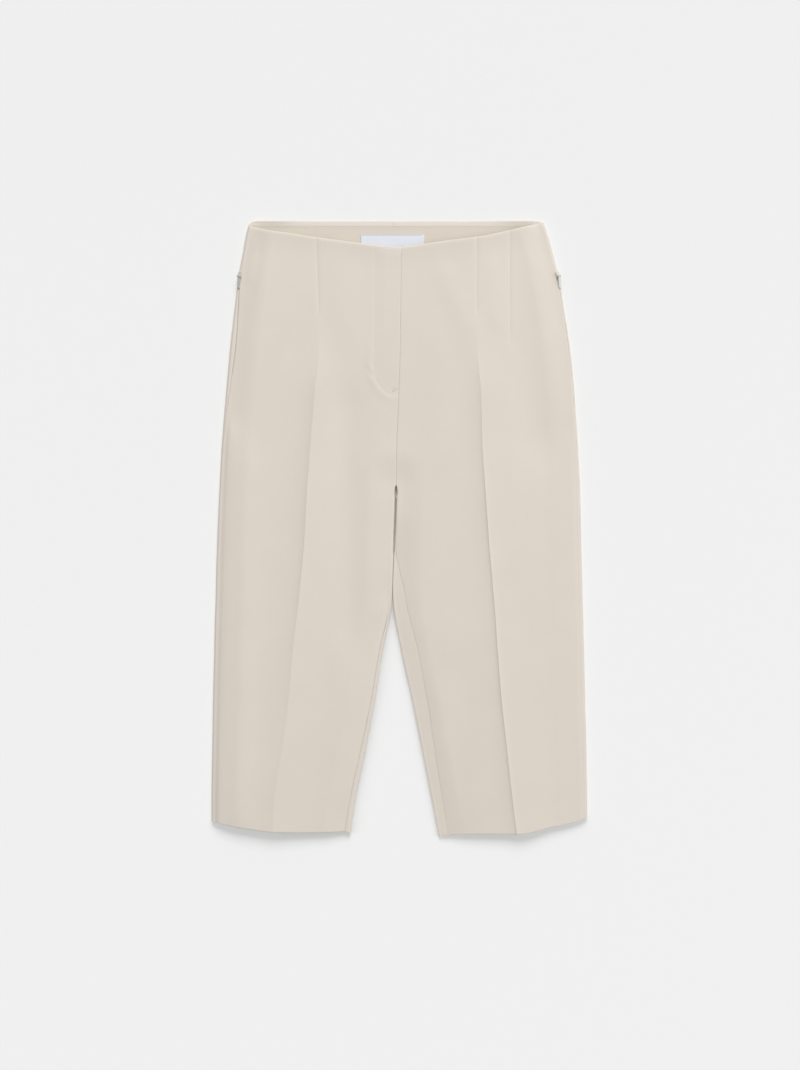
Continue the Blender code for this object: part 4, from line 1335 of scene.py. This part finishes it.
def add_lamp(name, power, size, around, above, distance, lights=(), shaded_by=()):
    """A square soft light that faces the garment. around is its angle in degrees from the
    waist's side towards the wearer's left, and above its angle over the floor. It can be kept
    to the objects that it lights, and to the objects that shade it."""
    lamp = bpy.data.lights.new(name, "AREA")
    lamp.energy, lamp.size, lamp.shape = power, size, "SQUARE"
    around, above = math.radians(around), math.radians(above)
    level = math.cos(above)
    away = Vector((math.sin(around) * level, math.cos(around) * level, math.sin(above)))
    stand = bpy.data.objects.new(name, lamp)
    stand.location = away * distance
    stand.rotation_mode = "QUATERNION"
    stand.rotation_quaternion = away.to_track_quat("Z", "Y")
    stand.visible_camera = False
    bpy.context.scene.collection.objects.link(stand)
    for link, objects in (("receiver_collection", lights), ("blocker_collection", shaded_by)):
        if objects:
            group = bpy.data.collections.new(f"{name}_{link}")
            for each in objects:
                group.objects.link(each)
            setattr(stand.light_linking, link, group)


class TROUSERS_OT_stage(bpy.types.Operator):
    """Set the floor, the even light and the camera of the picture"""

    bl_idname = "trousers.stage"
    bl_label = "Stage"

    def execute(self, context):
        stage = stage_settings()
        scene = context.scene
        floor_mesh = bpy.data.meshes.new("studio_floor")
        reach, level = 6.0, -0.0003
        corners = [(x * reach, y * reach, level) for x, y in ((-1, -1), (1, -1), (1, 1), (-1, 1))]
        floor_mesh.from_pydata(corners, [], [(0, 1, 2, 3)])
        floor_mesh.materials.append(floor_finish("studio_sweep", stage.floor_colour, stage.floor_glow))
        floor = bpy.data.objects.new("studio_floor", floor_mesh)
        scene.collection.objects.link(floor)
        world = bpy.data.worlds.new("studio")
        world.use_nodes = True
        sky = world.node_tree.nodes["Background"]
        sky.inputs[0].default_value = (1.0, 1.0, 1.0, 1.0)
        sky.inputs[1].default_value = stage.sky
        scene.world = world
        scene.view_settings.view_transform = "Standard"
        camera = bpy.data.cameras.new("camera")
        camera.sensor_width = SENSOR * 1000
        distance = stage.camera_height - CLOTH_HEIGHT
        camera.lens = SENSOR * 1000 * distance / (PHOTO_HEIGHT * PIXEL)
        camera.clip_end = 100.0
        viewer = bpy.data.objects.new("camera", camera)
        viewer.location = (*PHOTO_CENTRE, stage.camera_height)
        scene.collection.objects.link(viewer)
        scene.camera = viewer
        return {"FINISHED"}


class TROUSERS_OT_lights(bpy.types.Operator):
    """Set the lights: one beyond the waist, one from the side on the garment alone, a low one
    from the hems on the left back alone, and two on the floor alone, each shaded by one leg"""

    bl_idname = "trousers.lights"
    bl_label = "Lights"

    def execute(self, context):
        stage, objects = stage_settings(), context.scene.objects
        floor = objects["studio_floor"]
        pieces = [piece for piece in objects if piece.type == "MESH" and piece != floor]
        legs = {
            half: [objects[f"{half}_{side}_cloth"] for side in ("back", "front")] for half in HALVES
        }
        both = legs["left"] + legs["right"]
        add_lamp("key", stage.key_power, 6.1, around=4.0, above=40.0, distance=11.0)
        add_lamp("side_fill", stage.side_power, 5.0, 88.0, 35.0, 8.0, lights=pieces)
        left_back = [objects["left_back_cloth"]]
        add_lamp("inner_fill", stage.inner_power, 2.0, -162.0, 2.5, 8.0, left_back, both)
        for half, leg in legs.items():
            around = 90.0 * OUTWARD[half]
            add_lamp(f"{half}_floor_fill", stage.floor_power, 5.0, around, 35.0, 8.0, [floor], leg)
        return {"FINISHED"}


OPERATORS = (
    TROUSERS_OT_stage,
    TROUSERS_OT_backs,
    TROUSERS_OT_fronts,
    TROUSERS_OT_facings,
    TROUSERS_OT_label,
    TROUSERS_OT_zips,
    TROUSERS_OT_sewing,
    TROUSERS_OT_lights,
)


class TROUSERS_PT_pieces(bpy.types.Panel):
    """The garment's pieces, in the order in which they are made"""

    bl_idname = "TROUSERS_PT_pieces"
    bl_label = "Capri Trousers"
    bl_space_type = "VIEW_3D"
    bl_region_type = "UI"
    bl_category = "Trousers"

    def draw(self, context):
        for settings in (cloth_settings(), trim_settings(), stage_settings()):
            box = self.layout.box()
            for key in settings.__annotations__:
                box.prop(settings, key)
        for operator in OPERATORS:
            self.layout.operator(operator.bl_idname)


SETTINGS = {
    "trousers_cloth": TrousersClothSettings,
    "trousers_trim": TrousersTrimSettings,
    "trousers_stage": TrousersStageSettings,
}


def register():
    for cls in (*SETTINGS.values(), *OPERATORS, TROUSERS_PT_pieces):
        bpy.utils.register_class(cls)
    for key, group in SETTINGS.items():
        setattr(bpy.types.Scene, key, PointerProperty(type=group))


def unregister():
    for key in SETTINGS:
        delattr(bpy.types.Scene, key)
    for cls in reversed((*SETTINGS.values(), *OPERATORS, TROUSERS_PT_pieces)):
        bpy.utils.unregister_class(cls)


def main():
    register()
    for operator in OPERATORS:
        group, name = operator.bl_idname.split(".")
        getattr(getattr(bpy.ops, group), name)()


if __name__ == "__main__":
    main()
